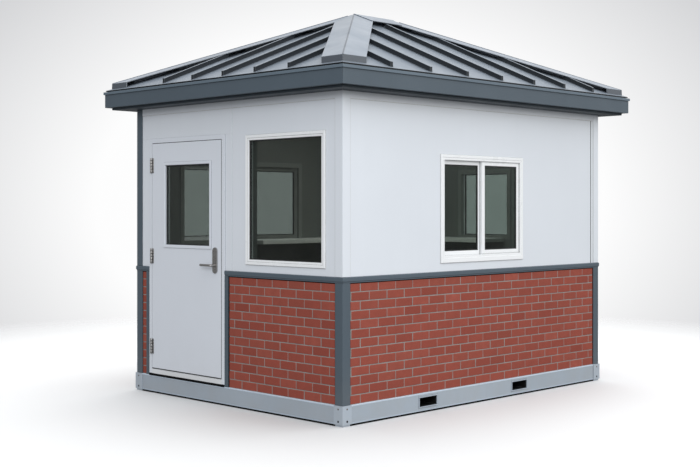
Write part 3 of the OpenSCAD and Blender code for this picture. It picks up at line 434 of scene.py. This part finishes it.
# CAD nodes: material, and the width in millimetres of the rounding on their edges
MM = 0.001
DRESS = (
    (base_paint, 2.0, "base_end_beams base_side_beams"),
    (pocket_paint, 1.5, "fork_pockets"),
    (block_paint, 0, "corner_feet"),
    (deck_wood, 0, "floor_deck"),
    (mortar, 0, "front_brick_panels right_brick_panel rear_brick_panel left_brick_panel"),
    (white_panel, 1.5, "front_wall_door_sides front_wall_over_door front_wall_window_side"),
    (white_panel, 1.5, "right_wall rear_wall left_wall"),
    (white_panel, 3.0, "white_corner_trims"),
    (ceiling_white, 0, "ceiling_panel"),
    (lit_belt_slate, 2.0, "belt_rails"),
    (trim_slate, 3.0, "dark_corner_trims"),
    (trim_slate, 2.0, "door_side_trims"),
    (eave_slate, 2.5, "fascia_boards"),
    (shaded_soffit_slate, 2.5, "soffit_boards"),
    (eave_edge, 2.0, "drip_edges"),
    (door_white, 2.0, "door_frame"),
    (door_white, 0, "door_leaf"),
    (door_white, 1.2, "door_beads"),
    (threshold_paint, 1.0, "door_threshold"),
    (steel_brushed, 1.2, "hinge_frame_halves hinge_leaf_halves"),
    (steel_brushed, 2.5, "lock_plates"),
    (steel_brushed, 0, "door_lever"),
    (window_white, 1.2, "front_window_frame right_window_frame rear_window_frame left_window_frame"),
    (window_white, 1.2, "right_window_sashes left_window_sashes"),
    (glass, 0, "front_window_glass rear_window_glass left_window_glass door_glass"),
    (green_glass, 0, "right_window_glass"),
    (laminate, 3.0, "counter"),
    (roof_paint, 2.0, "roof_front roof_right roof_rear roof_left"),
    (cap_paint, 2.0, "hip_caps ridge_cap"),
)
WELD, BEVEL_ANGLE = 0.00001, math.radians(35)


def dress(obj, mat, width):
    for slot in obj.material_slots:
        slot.material = mat
    if not obj.material_slots:
        obj.data.materials.append(mat)
    if width:
        weld = obj.modifiers.new("weld", "WELD")
        weld.merge_threshold = WELD
        bevel = obj.modifiers.new("edges", "BEVEL")
        bevel.width = width * MM
        bevel.segments = 2
        bevel.limit_method = "ANGLE"
        bevel.angle_limit = BEVEL_ANGLE
        bevel.use_clamp_overlap = True
        bevel.harden_normals = True


for mat, width, names in DRESS:
    for name in names.split():
        dress(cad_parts[name], mat, width)


# Pieces


def circle(count):
    """Cosine and sine of evenly spaced angles."""
    angles = [2 * math.pi * k / count for k in range(count)]
    return [(math.cos(a), math.sin(a)) for a in angles]


class Shape:
    """Points and faces of a new piece, in the row frame."""

    def __init__(self):
        self.verts, self.faces = [], []

    def prism(self, start, end):
        """Straight prism between two like outlines, closed at both ends."""
        first, n = len(self.verts), len(start)
        self.verts += [*start, *end]
        for k in range(n):
            after = (k + 1) % n
            self.faces.append((first + k, first + after, first + n + after, first + n + k))
        self.faces.append(tuple(range(first, first + n)))
        self.faces.append(tuple(range(first + n, first + 2 * n)))

    def strip(self, side, ends, section):
        """Level strip along a wall; the section gives depth and height."""
        self.prism(*([on_wall(side, end, z, w) for w, z in section] for end in ends))

    def bead(self, side, upright, ends, mid, width, back, front):
        """Strip with a rounded face along a wall, upright or level, about a middle line."""
        half, drop = width / 2, min(width * 0.3, (front - back) * 0.5)
        section = (
            (-half, back), (-half, front - drop), (-half * 0.7, front - drop * 0.3), (-half * 0.3, front),
            (half * 0.3, front), (half * 0.7, front - drop * 0.3), (half, front - drop), (half, back))
        if upright:
            self.prism(*([on_wall(side, mid + c, end, w) for c, w in section] for end in ends))
        else:
            self.prism(*([on_wall(side, end, mid + c, w) for c, w in section] for end in ends))

    def rod(self, start, end, radius, sink, count=10):
        """Straight round rod between two points, set down by sink."""
        along = (end - start).normalized()
        across = along.cross(Vector((0, 0, 1))).normalized()
        up = across.cross(along)
        outline = [radius * (c * across + s * up) - sink * up for c, s in circle(count)]
        self.prism(*([tuple(point + o) for o in outline] for point in (start, end)))

    def ring(self, side, u, z, width, height, section):
        """Rectangular ring on a wall; the section runs in from the outside and out from the wall."""
        first, n = len(self.verts), len(section)
        for su, sz in CORNERS:
            for d, w in section:
                self.verts.append(on_wall(side, u + su * (width / 2 - d), z + sz * (height / 2 - d), w))
        for c in range(4):
            a, b = first + c * n, first + (c + 1) % 4 * n
            for k in range(n):
                after = (k + 1) % n
                self.faces.append((a + k, a + after, b + after, b + k))

    def relief(self, side, us, zs, lift, back):
        """Closed slab on a wall: a grid over us and zs, standing out by lift(i, j), with a flat back."""
        n, m, first = len(us), len(zs), len(self.verts)
        for j, z in enumerate(zs):
            for i, u in enumerate(us):
                self.verts.append(on_wall(side, u, z, lift(i, j)))
        for j in range(m - 1):
            for i in range(n - 1):
                a = first + j * n + i
                self.faces.append((a, a + 1, a + n + 1, a + n))
        rim = [(i, 0) for i in range(n - 1)] + [(n - 1, j) for j in range(m - 1)]
        rim += [(i, m - 1) for i in range(n - 1, 0, -1)] + [(0, j) for j in range(m - 1, 0, -1)]
        start = len(self.verts)
        for i, j in rim:
            self.verts.append(on_wall(side, us[i], zs[j], back))
        for k, (i, j) in enumerate(rim):
            after = (k + 1) % len(rim)
            p, q = rim[after]
            self.faces.append((start + k, start + after, first + q * n + p, first + j * n + i))
        self.faces.append(tuple(range(len(self.verts) - 1, start - 1, -1)))

    def lathe(self, side, u, z, w, profile, count=20, way=1):
        """Turned piece on a wall; the profile gives radius and height from the axis to the rim."""
        first = len(self.verts)
        for r, h in profile[1:]:
            for c, s in circle(count):
                self.verts.append(on_wall(side, u + r * c, z + r * s, w + way * h))
        tip = len(self.verts)
        self.verts.append(on_wall(side, u, z, w + way * profile[0][1]))
        for k in range(count):
            self.faces.append((tip, first + k, first + (k + 1) % count))
        last = first + (len(profile) - 2) * count
        for a in range(first, last, count):
            for k in range(count):
                after = (k + 1) % count
                self.faces.append((a + k, a + count + k, a + count + after, a + after))
        self.faces.append(tuple(range(last, last + count)))

    def piece(self, name, mat, body, slot, values=None, sharp=40):
        """Makes the mesh, with its normals outwards, and lets it ride on a body."""
        mesh = bpy.data.meshes.new(name)
        mesh.from_pydata(self.verts, [], self.faces)
        for key, numbers in (values or {}).items():
            mesh.attributes.new(key, "FLOAT", "POINT").data.foreach_set("value", numbers)
        bm = bmesh.new()
        bm.from_mesh(mesh)
        bmesh.ops.recalc_face_normals(bm, faces=bm.faces)
        bm.to_mesh(mesh)
        bm.free()
        mesh.shade_smooth()
        mesh.set_sharp_from_angle(angle=math.radians(sharp))
        mesh.materials.append(mat)
        obj = bpy.data.objects.new(name, mesh)
        bpy.context.scene.collection.objects.link(obj)
        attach(obj, body)


# Bricks: courses, joints, the gap to the trims, and the rounding of a brick's edge
COURSES, BRICK_LOW, BRICK_HIGH = 13, 0.160, 1.097
COURSE = (BRICK_HIGH - BRICK_LOW) / COURSES
JOINT, BED, JOINT_DEEP = 0.0078, 0.008, 0.0025
BUTT = 0.0006
EDGE = (0.0, 0.0006, 0.0017, 0.0045)
DROP = (0.0017, 0.0007, 0.0002, 0.0)
# Unevenness of the bricks: shift of their ends, its share in height, spread of tone, greatest depth
SLOP, SLOP_SHARE, TONE_SPREAD, SUNK = 0.0015, 0.3, 0.13, 0.0007
# Waves on the bricks and sand on the mortar: height, scale, and the span that the waves start in
RIPPLE, RIPPLE_U, RIPPLE_Z, RIPPLE_SPAN = 0.0006, 24, 30, 50
SAND, SAND_SCALE = 0.0008, 40
# Shortest brick, the steps of the grids on bricks and mortar, and the grid rows that count as rim
SLIVER, STEP_U, STEP_Z, BED_STEP, RIM_ROWS = 0.018, 0.034, 0.022, 0.02, 2


def spaced(a, b, step):
    """Places from a to b, close together at both ends, where a brick's edge is rounded."""
    inner = max(1, round((b - a - 2 * EDGE[-1]) / step))
    middle = [a + EDGE[-1] + (b - a - 2 * EDGE[-1]) * k / inner for k in range(1, inner)]
    return [a + e for e in EDGE] + middle + [b - e for e in reversed(EDGE)]


def evenly(a, b, step):
    """Places from a to b, set in by the gap to the trims."""
    count = max(2, round((b - a) / step))
    return [a + BUTT + (b - a - 2 * BUTT) * k / count for k in range(count + 1)]


def from_end(k, count):
    """Steps from the nearer end of a row."""
    return min(k, count - 1 - k)


def edge_drop(k, count):
    return DROP[min(from_end(k, count), len(DROP) - 1)]


def brick_wall(name, side, zones, pitch, phase, seed):
    """Bricks in running bond over zones of a wall, and the mortar between them."""
    rnd = random.Random(seed)
    bricks, bed = Shape(), Shape()
    tones, warms, rim_highlights = [], [], []
    for low, high in zones:
        for row in range(COURSES):
            z0 = BRICK_LOW + row * COURSE + JOINT / 2
            z1 = z0 + COURSE - JOINT
            first = phase + pitch / 2 * (row % 2)
            u = first - pitch * math.ceil((first - low) / pitch)
            while u < high:
                shift = [rnd.uniform(-SLOP, SLOP) for _ in range(4)]
                tone = min(1.0, max(0.0, rnd.gauss(0.5, TONE_SPREAD)))
                warm, proud = rnd.random(), rnd.uniform(-SUNK, 0.0)
                a = max(u + JOINT / 2 + shift[0], low + BUTT)
                b = min(u + pitch - JOINT / 2 + shift[1], high - BUTT)
                u += pitch
                if b - a < SLIVER:
                    continue
                us = spaced(a, b, STEP_U)
                zs = spaced(z0 + shift[2] * SLOP_SHARE, z1 + shift[3] * SLOP_SHARE, STEP_Z)
                at = rnd.uniform(0, RIPPLE_SPAN)

                def lift(i, j):
                    ripple = noise.noise((us[i] * RIPPLE_U + at, zs[j] * RIPPLE_Z, at)) * RIPPLE
                    return min(0.0, proud - edge_drop(i, len(us)) - edge_drop(j, len(zs)) + ripple)

                before = len(bricks.verts)
                bricks.relief(side, us, zs, lift, -BED)
                count = len(bricks.verts) - before
                tones += [tone] * count
                warms += [warm] * count
                grid = [1.0 if min(from_end(i, len(us)), from_end(j, len(zs))) < RIM_ROWS else 0.0
                        for j in range(len(zs)) for i in range(len(us))]
                rim_highlights += grid + [1.0] * (count - len(grid))
        us, zs = evenly(low, high, BED_STEP), evenly(BRICK_LOW, BRICK_HIGH, BED_STEP)
        bed.relief(side, us, zs, lambda i, j: -JOINT_DEEP + SAND * noise.noise(
            (us[i] * SAND_SCALE, zs[j] * SAND_SCALE, seed)), -BED)
    bricks.piece("bricks_" + name, brick, "booth", "brick_facing",
                 {"tone": tones, "warm": warms, "rim": rim_highlights}, sharp=50)
    bed.piece("mortar_" + name, mortar, "booth", "brick_facing")


# Pitch of the bricks along the end walls and the long walls, and where a joint lies
END_PITCH, END_PHASE = 0.190, 1.0976
LONG_PITCH, LONG_PHASE = 0.203, 1.5555
ENDS, LONG = (-CORNER_W, CORNER_W), (-CORNER_D, CORNER_D)
FRONT_ZONES = (-CORNER_W, DOOR_LEFT), (DOOR_RIGHT, CORNER_W)
brick_wall("front", FRONT, FRONT_ZONES, END_PITCH, END_PHASE, 11)
brick_wall("right", RIGHT, (LONG,), LONG_PITCH, -LONG_PHASE, 12)
brick_wall("rear", REAR, (ENDS,), END_PITCH, END_PHASE, 13)
brick_wall("left", LEFT, (LONG,), LONG_PITCH, LONG_PHASE, 14)

# Windows: wall, u, z, width and height of the frame, and whether sashes slide in it
WINDOWS = {
    "front": (FRONT, 0.6785, 1.7395, 0.950, 1.071, False),
    "rear": (REAR, 0.0, 1.710, 0.690, 0.726, False),
    "right": (RIGHT, -0.036, 1.6665, 1.132, 0.907, True),
    "left": (LEFT, 0.540, 1.7145, 1.560, 0.825, True),
}
# Widths of the fixed and the sliding frames, and the height of the sill in the sliding ones
FIXED, SLIDE, SILL = 0.043, 0.038, 0.016
# Width of the sashes' rails, and how far the sashes lap and stay clear of their frame
RAIL, LAP, CLEAR = 0.042, 0.018, 0.0003
# Depths of the panes' faces, and the door's pane as u, z, width, height and depths
FIXED_PANE, OUTER_PANE, INNER_PANE = (-0.005, -0.013), (-0.0103, -0.0183), (-0.0343, -0.0423)
DOOR_PANE = (-0.588, 1.700, 0.632, 0.708, -0.0095, -0.0195)
SEAL_WIDE, SEAL_PROUD = 0.009, 0.0035


def pane_seal(deep, way):
    """Section of a rubber seal lying on a pane whose face is at deep."""
    out = way * SEAL_PROUD
    return ((0, deep), (0, deep + out), (SEAL_WIDE * 0.45, deep + out),
            (SEAL_WIDE * 0.8, deep + out * 0.7), (SEAL_WIDE, deep + out * 0.15), (SEAL_WIDE, deep))


def seals(name, side, body, panes):
    """Rubber seals on both faces of panes given as u, z, width, height and the depths of the faces."""
    shape = Shape()
    for u, z, width, height, outer, inner in panes:
        shape.ring(side, u, z, width, height, pane_seal(outer, 1))
        shape.ring(side, u, z, width, height, pane_seal(inner, -1))
    shape.piece(name, rubber, body, "tinted_glass")


def window_panes(u, z, width, height, slides):
    """Panes of a window: one, or one in each of two sashes."""
    if not slides:
        return [(u, z, width - 2 * FIXED, height - 2 * FIXED, *FIXED_PANE)]
    wide = (width - 2 * SLIDE + LAP) / 2 - CLEAR
    off = (width - 2 * SLIDE) / 2 - CLEAR - wide / 2
    size = (wide - 2 * RAIL, height - SILL - 2 * SLIDE - 2 * CLEAR - 2 * RAIL)
    mid = z + SILL / 2
    return [(u + off, mid, *size, *OUTER_PANE), (u - off, mid, *size, *INNER_PANE)]


for name, (side, *window) in WINDOWS.items():
    seals(name + "_window_seals", side, "booth", window_panes(*window))
seals("door_glass_seals", FRONT, "door", [DOOR_PANE])

# Caulk around the frames, and a grey line along the step in their faces as painted shade of the step
CAULK_OUT, STEP_LINE, CAULK_GAP, FACE_W = 0.0034, 0.0026, 0.0001, 0.009
FIXED_STEP, SLIDE_STEP = 0.0245, 0.022
CAULK_IN = CAULK_OUT - CAULK_GAP
AROUND = ((0, 0), (0.0004, 0.0014), (0.0018, 0.0028), (CAULK_IN, 0.0032), (CAULK_IN, 0))
STEP_SHADE_LINE = ((CAULK_GAP, FACE_W), (CAULK_GAP, 0.0102), (STEP_LINE * 0.6, 0.0098), (STEP_LINE, 0.0092),
              (STEP_LINE, FACE_W))
for name, (side, u, z, width, height, slides) in WINDOWS.items():
    step, sill = (SLIDE_STEP, SILL) if slides else (FIXED_STEP, 0.0)
    lines = Shape()
    lines.ring(side, u, z, width + 2 * CAULK_OUT, height + 2 * CAULK_OUT, AROUND)
    lines.ring(side, u, z + sill / 2, width - 2 * step, height - sill - 2 * step, STEP_SHADE_LINE)
    lines.piece(name + "_window_lines", caulk_and_step_shade, "booth", "window_white")

# Near-black beads around the brick panels, under the belt and beside the trims, standing in for the shade
# in those joints
SLIM, WIDE, TOP_SEAL = 0.005, 0.011, 0.0075
SEAL_BACK, SEAL_FRONT = -0.003, 0.0009
top = BRICK_HIGH - BUTT - TOP_SEAL
shape = Shape()
for side, (low, high), low_wide, high_wide in (
        (FRONT, FRONT_ZONES[0], SLIM, SLIM), (FRONT, FRONT_ZONES[1], WIDE, SLIM),
        (RIGHT, LONG, SLIM, WIDE), (REAR, ENDS, SLIM, WIDE), (LEFT, LONG, WIDE, SLIM)):
    shape.bead(side, False, (low + BUTT, high - BUTT), top + TOP_SEAL / 2, TOP_SEAL, SEAL_BACK, SEAL_FRONT)
    for u, width in ((low + BUTT + low_wide / 2, low_wide), (high - BUTT - high_wide / 2, high_wide)):
        shape.bead(side, True, (BRICK_LOW + BUTT, top), u, width, SEAL_BACK, SEAL_FRONT)
shape.piece("brick_shade_seals", shade_foam, "booth", "brick_facing")

# Near-black strips under the beams of the skid, between the feet, standing in for the shade in the gap
# under them
SKID_W, SKID_D = 1.2525, 1.665
SKID_SHADE_STRIP = ((-0.05, 0.0006), (0.004, 0.0006), (0.006, 0.002), (0.0066, 0.006), (0.0066, 0.011),
              (0.006, 0.0149), (-0.05, 0.0149))
shape = Shape()
for side, end in ((FRONT, SKID_W), (RIGHT, SKID_D), (REAR, SKID_W), (LEFT, SKID_D)):
    shape.strip(side, (-end, end), SKID_SHADE_STRIP)
shape.piece("skid_shade_strips", shade_foam, "booth", "base_steel")

# Seals around the door, near black to darken its gaps as painted shade: over the base under its frame, and
# in the gaps of the leaf
SILL_ENDS = -1.1435, -0.0705
SILL_SHADE_SEAL = ((-0.05, 0.1605), (0.0102, 0.1605), (0.0102, 0.1562), (0.0114, 0.1555), (0.0122, 0.1565),
             (0.0122, 0.173), (0.0105, 0.1757), (-0.05, 0.1757))
shape = Shape()
shape.strip(FRONT, SILL_ENDS, SILL_SHADE_SEAL)
shape.piece("door_sill_shade_seal", shade_foam, "booth", "threshold_metal")
LEAF_L, LEAF_R, LEAF_LOW, LEAF_TOP = -1.1005, -0.1155, 0.225, 2.253
# How far they stop short of the leaf's ends; the beads as middle line, width, back and front
SILL_SHORT, BEAD_SHORT = 0.002, 0.003
LEAF_SILL = ((-0.006, 0.2204), (0.0086, 0.2204), (0.0096, 0.2212), (0.0096, 0.2268), (0.0088, 0.2276),
             (0.0081, 0.2276), (0.0081, 0.2248), (-0.006, 0.2248))
LEAF_HEAD = (LEAF_TOP + 0.0025, 0.0043, -0.006, 0.006)
LEAF_LOCK_SIDE = (LEAF_R + 0.0032, 0.0056, -0.004, 0.0045)
# Seals on the leaf, real parts kept near black so that they also darken the gaps round the leaf as painted
# shade
shape = Shape()
shape.strip(FRONT, (LEAF_L + SILL_SHORT, LEAF_R - SILL_SHORT), LEAF_SILL)
shape.bead(FRONT, False, (LEAF_L + BEAD_SHORT, LEAF_R - BEAD_SHORT), *LEAF_HEAD)
shape.bead(FRONT, True, (LEAF_LOW + BEAD_SHORT, LEAF_TOP - BEAD_SHORT), *LEAF_LOCK_SIDE)
shape.piece("door_leaf_seals", shade_foam, "door", "door_white")

# Sealant in the rear joints of the long walls: in the groove, and a flat cap over it
JOINT_U, GROOVE_TOP, CAP_TOP = 1.63, 2.40, 2.515
# Width, back and front of both
GROOVE_BEAD, CAP_BEAD = (0.0044, -0.0044, -0.0002), (0.0085, 0.0001, 0.0012)
shape = Shape()
for side, u in ((RIGHT, JOINT_U), (LEFT, -JOINT_U)):
    shape.bead(side, True, (WALL_LOW, GROOVE_TOP), u, *GROOVE_BEAD)
    shape.bead(side, True, (WALL_LOW, CAP_TOP), u, *CAP_BEAD)
shape.piece("joint_sealant", rubber, "booth", "white_panel")

# Caulk on the walls along the white corner trims and under the strip at the top
LINE, LINE_BACK, LINE_FRONT = 0.0045, 0.0001, 0.0016
shape = Shape()
for side, u, way in ((FRONT, CORNER_W, -1), (RIGHT, -CORNER_D, 1), (RIGHT, CORNER_D, -1),
                     (REAR, -CORNER_W, 1), (REAR, CORNER_W, -1), (LEFT, -CORNER_D, 1)):
    shape.bead(side, True, (WALL_LOW, STRIP_LOW), u + way * LINE / 2, LINE, LINE_BACK, LINE_FRONT)
for side, end in ((FRONT, CORNER_W), (RIGHT, CORNER_D), (REAR, CORNER_W), (LEFT, CORNER_D)):
    shape.bead(side, False, (LINE - end, end - LINE), STRIP_LOW - LINE / 2, LINE, LINE_BACK, LINE_FRONT)
shape.piece("trim_caulk", caulk_and_step_shade, "booth", "white_panel")

# Beads along the hips, from the noses of the caps up to the ridge
HIP_LOW, HIP_TOP, HIP_SHARE = Vector((1.503, 1.914, 2.8175)), Vector((0.0005, 0.2705, 3.4758)), 0.975
HIP_R, HIP_SINK = 0.0065, 0.0022
shape = Shape()
for way in ((1, -1, 1), (1, 1, 1), (-1, 1, 1), (-1, -1, 1)):
    low, top = Vector(way) * HIP_LOW, Vector(way) * HIP_TOP
    shape.rod(low, low.lerp(top, HIP_SHARE), HIP_R, HIP_SINK)
shape.piece("hip_beads", hip_paint, "booth", "roof_metal", sharp=60)

# How far heads are sunk into what carries them
HEAD_SINK = 0.0008


def screw(r):
    """Profile of a pan head with a socket in the middle."""
    return ((0, r * 0.25), (r * 0.34, r * 0.25), (r * 0.42, r * 0.62), (r * 0.7, r * 0.52),
            (r * 0.93, r * 0.25), (r, 0.0), (r, -HEAD_SINK))


def rivet(r):
    """Profile of a domed head."""
    return ((0, r * 0.5), (r * 0.35, r * 0.47), (r * 0.65, r * 0.36), (r * 0.9, r * 0.16),
            (r, 0.0), (r, -HEAD_SINK))


# Corner blocks: a rivet near the top of each face, and a near-black plug in the anchor hole below it,
# standing in for the shade in the hole
BLOCK_W, BLOCK_D, BLOCK_FACE = 1.3025, 1.715, 0.014
RIVET_Z, RIVET_R, HOLE_Z = 0.134, 0.0075, 0.040
HOLE_SHADE = ((0, -0.0025), (0.0045, -0.0025), (0.006, 0.0008), (0.0078, 0.0012),
        (0.0088, 0.0006), (0.0088, 0.0001))
rivets, hole_shades = Shape(), Shape()
for side, off in ((FRONT, BLOCK_W), (REAR, BLOCK_W), (RIGHT, BLOCK_D), (LEFT, BLOCK_D)):
    for u in (-off, off):
        rivets.lathe(side, u, RIVET_Z, BLOCK_FACE, rivet(RIVET_R))
        hole_shades.lathe(side, u, HOLE_Z, BLOCK_FACE, HOLE_SHADE)
rivets.piece("block_rivets", rivet_steel, "booth", "hardware_steel")
hole_shades.piece("hole_shade_plugs", shade_foam, "booth", "base_steel")

# Hinge screws, on the leaf's halves and on the frame's
HINGE_U, HINGE_ZS, HINGE_FACE = -1.103, (0.422, 1.239, 2.056), 0.011
SCREW_OFF, SCREW_ZS, SCREW_R, SCREW_SIDES = 0.0185, (-0.048, 0.0, 0.048), 0.0036, 16
for name, off, body in (("hinge_leaf_screws", SCREW_OFF, "door"),
                        ("hinge_frame_screws", -SCREW_OFF, "booth")):
    shape = Shape()
    for z in HINGE_ZS:
        for dz in SCREW_ZS:
            shape.lathe(FRONT, HINGE_U + off, z + dz, HINGE_FACE, screw(SCREW_R), SCREW_SIDES)
    shape.piece(name, steel_brushed, body, "hardware_steel")

# Lock: screws, key cylinders and their slots on both plates, at heights over the lock's middle; the slots
# are black strips standing in for the shade in the keyways
LOCK_U, LOCK_Z, LOCK_SCREWS, CYLINDER_UP = -0.1935, 1.225, (-0.094, 0.044), 0.080
# Faces of the outer and the inner plate, and the way they face
PLATES = ((0.018, 1), (-0.047, -1))
CYLINDER_FACE, CYLINDER_SIDES = 0.0012, 28
CYLINDER = ((0, CYLINDER_FACE), (0.0058, CYLINDER_FACE), (0.0062, 0.0026), (0.0078, 0.0026),
            (0.0086, 0.0016), (0.0088, 0), (0.0088, -HEAD_SINK))
SLOT_U, SLOT_Z, SLOT_H = 0.0009, 0.0042, 0.0004
key_z = LOCK_Z + CYLINDER_UP
fixings, slot_shades = Shape(), Shape()
for face, way in PLATES:
    for dz in LOCK_SCREWS:
        fixings.lathe(FRONT, LOCK_U, LOCK_Z + dz, face, screw(SCREW_R), SCREW_SIDES, way)
    fixings.lathe(FRONT, LOCK_U, key_z, face, CYLINDER, CYLINDER_SIDES, way)
    ends = [face + way * (CYLINDER_FACE + h) for h in (-SLOT_H, SLOT_H)]
    slot_shades.prism(*([on_wall(FRONT, LOCK_U + su * SLOT_U, key_z + sz * SLOT_Z, w) for su, sz in CORNERS]
                  for w in ends))
fixings.piece("lock_screws", steel_brushed, "door", "hardware_steel")
slot_shades.piece("key_slot_shades", rubber, "door", "hardware_steel")


# Stage: floor, background, light and camera

FLOOR_HALF, FLOOR_COLOUR, FADE_START, FADE_END = 14.0, (0.872, 0.865, 0.86, 1), 4.8, 7.9


def make_floor():
    """Pale floor that fades into the background away from the booth."""
    g = new_graph("studio_floor")
    far = g.vector("LENGTH", g.place((1, 1, 0)))
    g.surface(FLOOR_COLOUR, 0.75, specular=0.2)
    own = g.tree.nodes["Principled BSDF"].outputs[0]
    clear = g.node("ShaderNodeBsdfTransparent").outputs[0]
    return g.show(g.blend(g.spread(far, 0, 1, FADE_START, FADE_END), own, clear))


mesh = bpy.data.meshes.new("studio_floor")
mesh.from_pydata([(sx * FLOOR_HALF, sy * FLOOR_HALF, 0) for sx, sy in CORNERS], [], [(0, 1, 2, 3)])
mesh.materials.append(make_floor())
floor = bpy.data.objects.new("studio_floor", mesh)
bpy.context.scene.collection.objects.link(floor)
floor.visible_diffuse = floor.visible_glossy = False

# Background as seen: a bright spot behind the booth, measured across the picture and upwards
SIDEWAYS, SPOT_TALL, SPOT_LIFT = (0.710, 0.704, 0.0), 1.5, -0.01
SPOT = ((0.21, (0.985, 0.985, 0.987)), (0.365, (0.665, 0.67, 0.685)))
# Background as light: dim below, and above the horizon brighter towards one side
LOW, LOW_COLOUR = 0.33, (0.96, 0.98, 1.0, 1)
HIGH, HIGH_COLOUR, HORIZON = 1.404, (0.95, 0.975, 1.0, 1), 0.12
BRIGHT_SIDE, LEAN = (0.704, 0.71, 0.0), ((0.0, 0.22), (0.18, 0.42), (0.4, 0.8), (1.0, 1.0))

world = bpy.data.worlds.new("studio")
bpy.context.scene.world = world
sky = Graph(world)
sky.tree.nodes.clear()


def glow(colour, strength=1.0):
    """Light of the background."""
    n = sky.node("ShaderNodeBackground")
    sky.put(n.inputs["Color"], colour)
    sky.put(n.inputs["Strength"], strength)
    return n.outputs[0]


ray = sky.node("ShaderNodeTexCoord").outputs["Generated"]
rise = sky.split(ray)["Z"]
spot = sky.node("ShaderNodeCombineXYZ")
sky.put(spot.inputs["X"], sky.vector("DOT_PRODUCT", ray, SIDEWAYS))
sky.put(spot.inputs["Y"], sky.math("ADD", sky.math("MULTIPLY", rise, SPOT_TALL), SPOT_LIFT))
seen = glow(sky.ramp(sky.vector("LENGTH", spot.outputs[0]), SPOT))
lean = sky.ramp(sky.spread(sky.vector("DOT_PRODUCT", ray, BRIGHT_SIDE), 0, 1, -1, 1),
                [(at, (level,) * 3) for at, level in LEAN])
above = glow(HIGH_COLOUR, sky.spread(lean, 0, HIGH, 0, 1))
ambient = sky.blend(sky.spread(rise, 0, 1, 0.0, HORIZON), glow(LOW_COLOUR, LOW), above)
to_camera = sky.node("ShaderNodeLightPath").outputs["Is Camera Ray"]
sky.put(sky.node("ShaderNodeOutputWorld").inputs["Surface"], sky.blend(to_camera, ambient, seen))


def softbox(name, place, aim, size, power, colour):
    light = bpy.data.lights.new(name, "AREA")
    light.shape = "RECTANGLE"
    light.size, light.size_y = size
    light.energy = power
    light.color = colour
    obj = bpy.data.objects.new(name, light)
    obj.location = place
    obj.rotation_euler = (Vector(aim) - Vector(place)).to_track_quat("-Z", "Y").to_euler()
    obj.visible_camera = False
    bpy.context.scene.collection.objects.link(obj)
    return obj


def lights_for(name, state, *lights):
    """Ties lights to the floor alone, or keeps them off it."""
    only = bpy.data.collections.new(name)
    only.objects.link(floor)
    only.collection_objects[0].light_linking.link_state = state
    for light in lights:
        light.light_linking.receiver_collection = only


camera_key = softbox("camera_key", (8.0, -10.4, 5.6), (0, 0, 1.4), (6, 4), 520, (0.94, 0.975, 1.0))
right_key = softbox("right_key", (10.5, 3.5, 4.2), (0.5, 0, 1.4), (5, 3), 80, (1.0, 0.965, 0.82))
overhead = softbox("overhead", (-0.6, 0.6, 9.0), (-0.6, 0.6, 0), (7, 7), 470, (1.0, 0.99, 0.975))
softbox("room", (0.0, 0.0, 2.56), (0, 0, 0), (1.3, 1.8), 22, (1.0, 1.0, 0.96))
lights_for("off_floor", "EXCLUDE", camera_key, right_key)
lights_for("on_floor", "INCLUDE", overhead)

CAMERA_PLACE, CAMERA_TURN, FOCAL, SHIFT = (7.720, -8.111, 1.672), (90, 0, 44.74), 60.78, -0.0363
lens = bpy.data.cameras.new("camera")
lens.sensor_fit = "HORIZONTAL"
lens.sensor_width = 36
lens.lens = FOCAL
lens.shift_y = SHIFT
lens.clip_end = 100
camera = bpy.data.objects.new("camera", lens)
camera.location = CAMERA_PLACE
camera.rotation_euler = [math.radians(a) for a in CAMERA_TURN]
bpy.context.scene.collection.objects.link(camera)
bpy.context.scene.camera = camera
bpy.context.scene.view_settings.view_transform = "Standard"
bpy.context.scene.view_settings.look = "None"
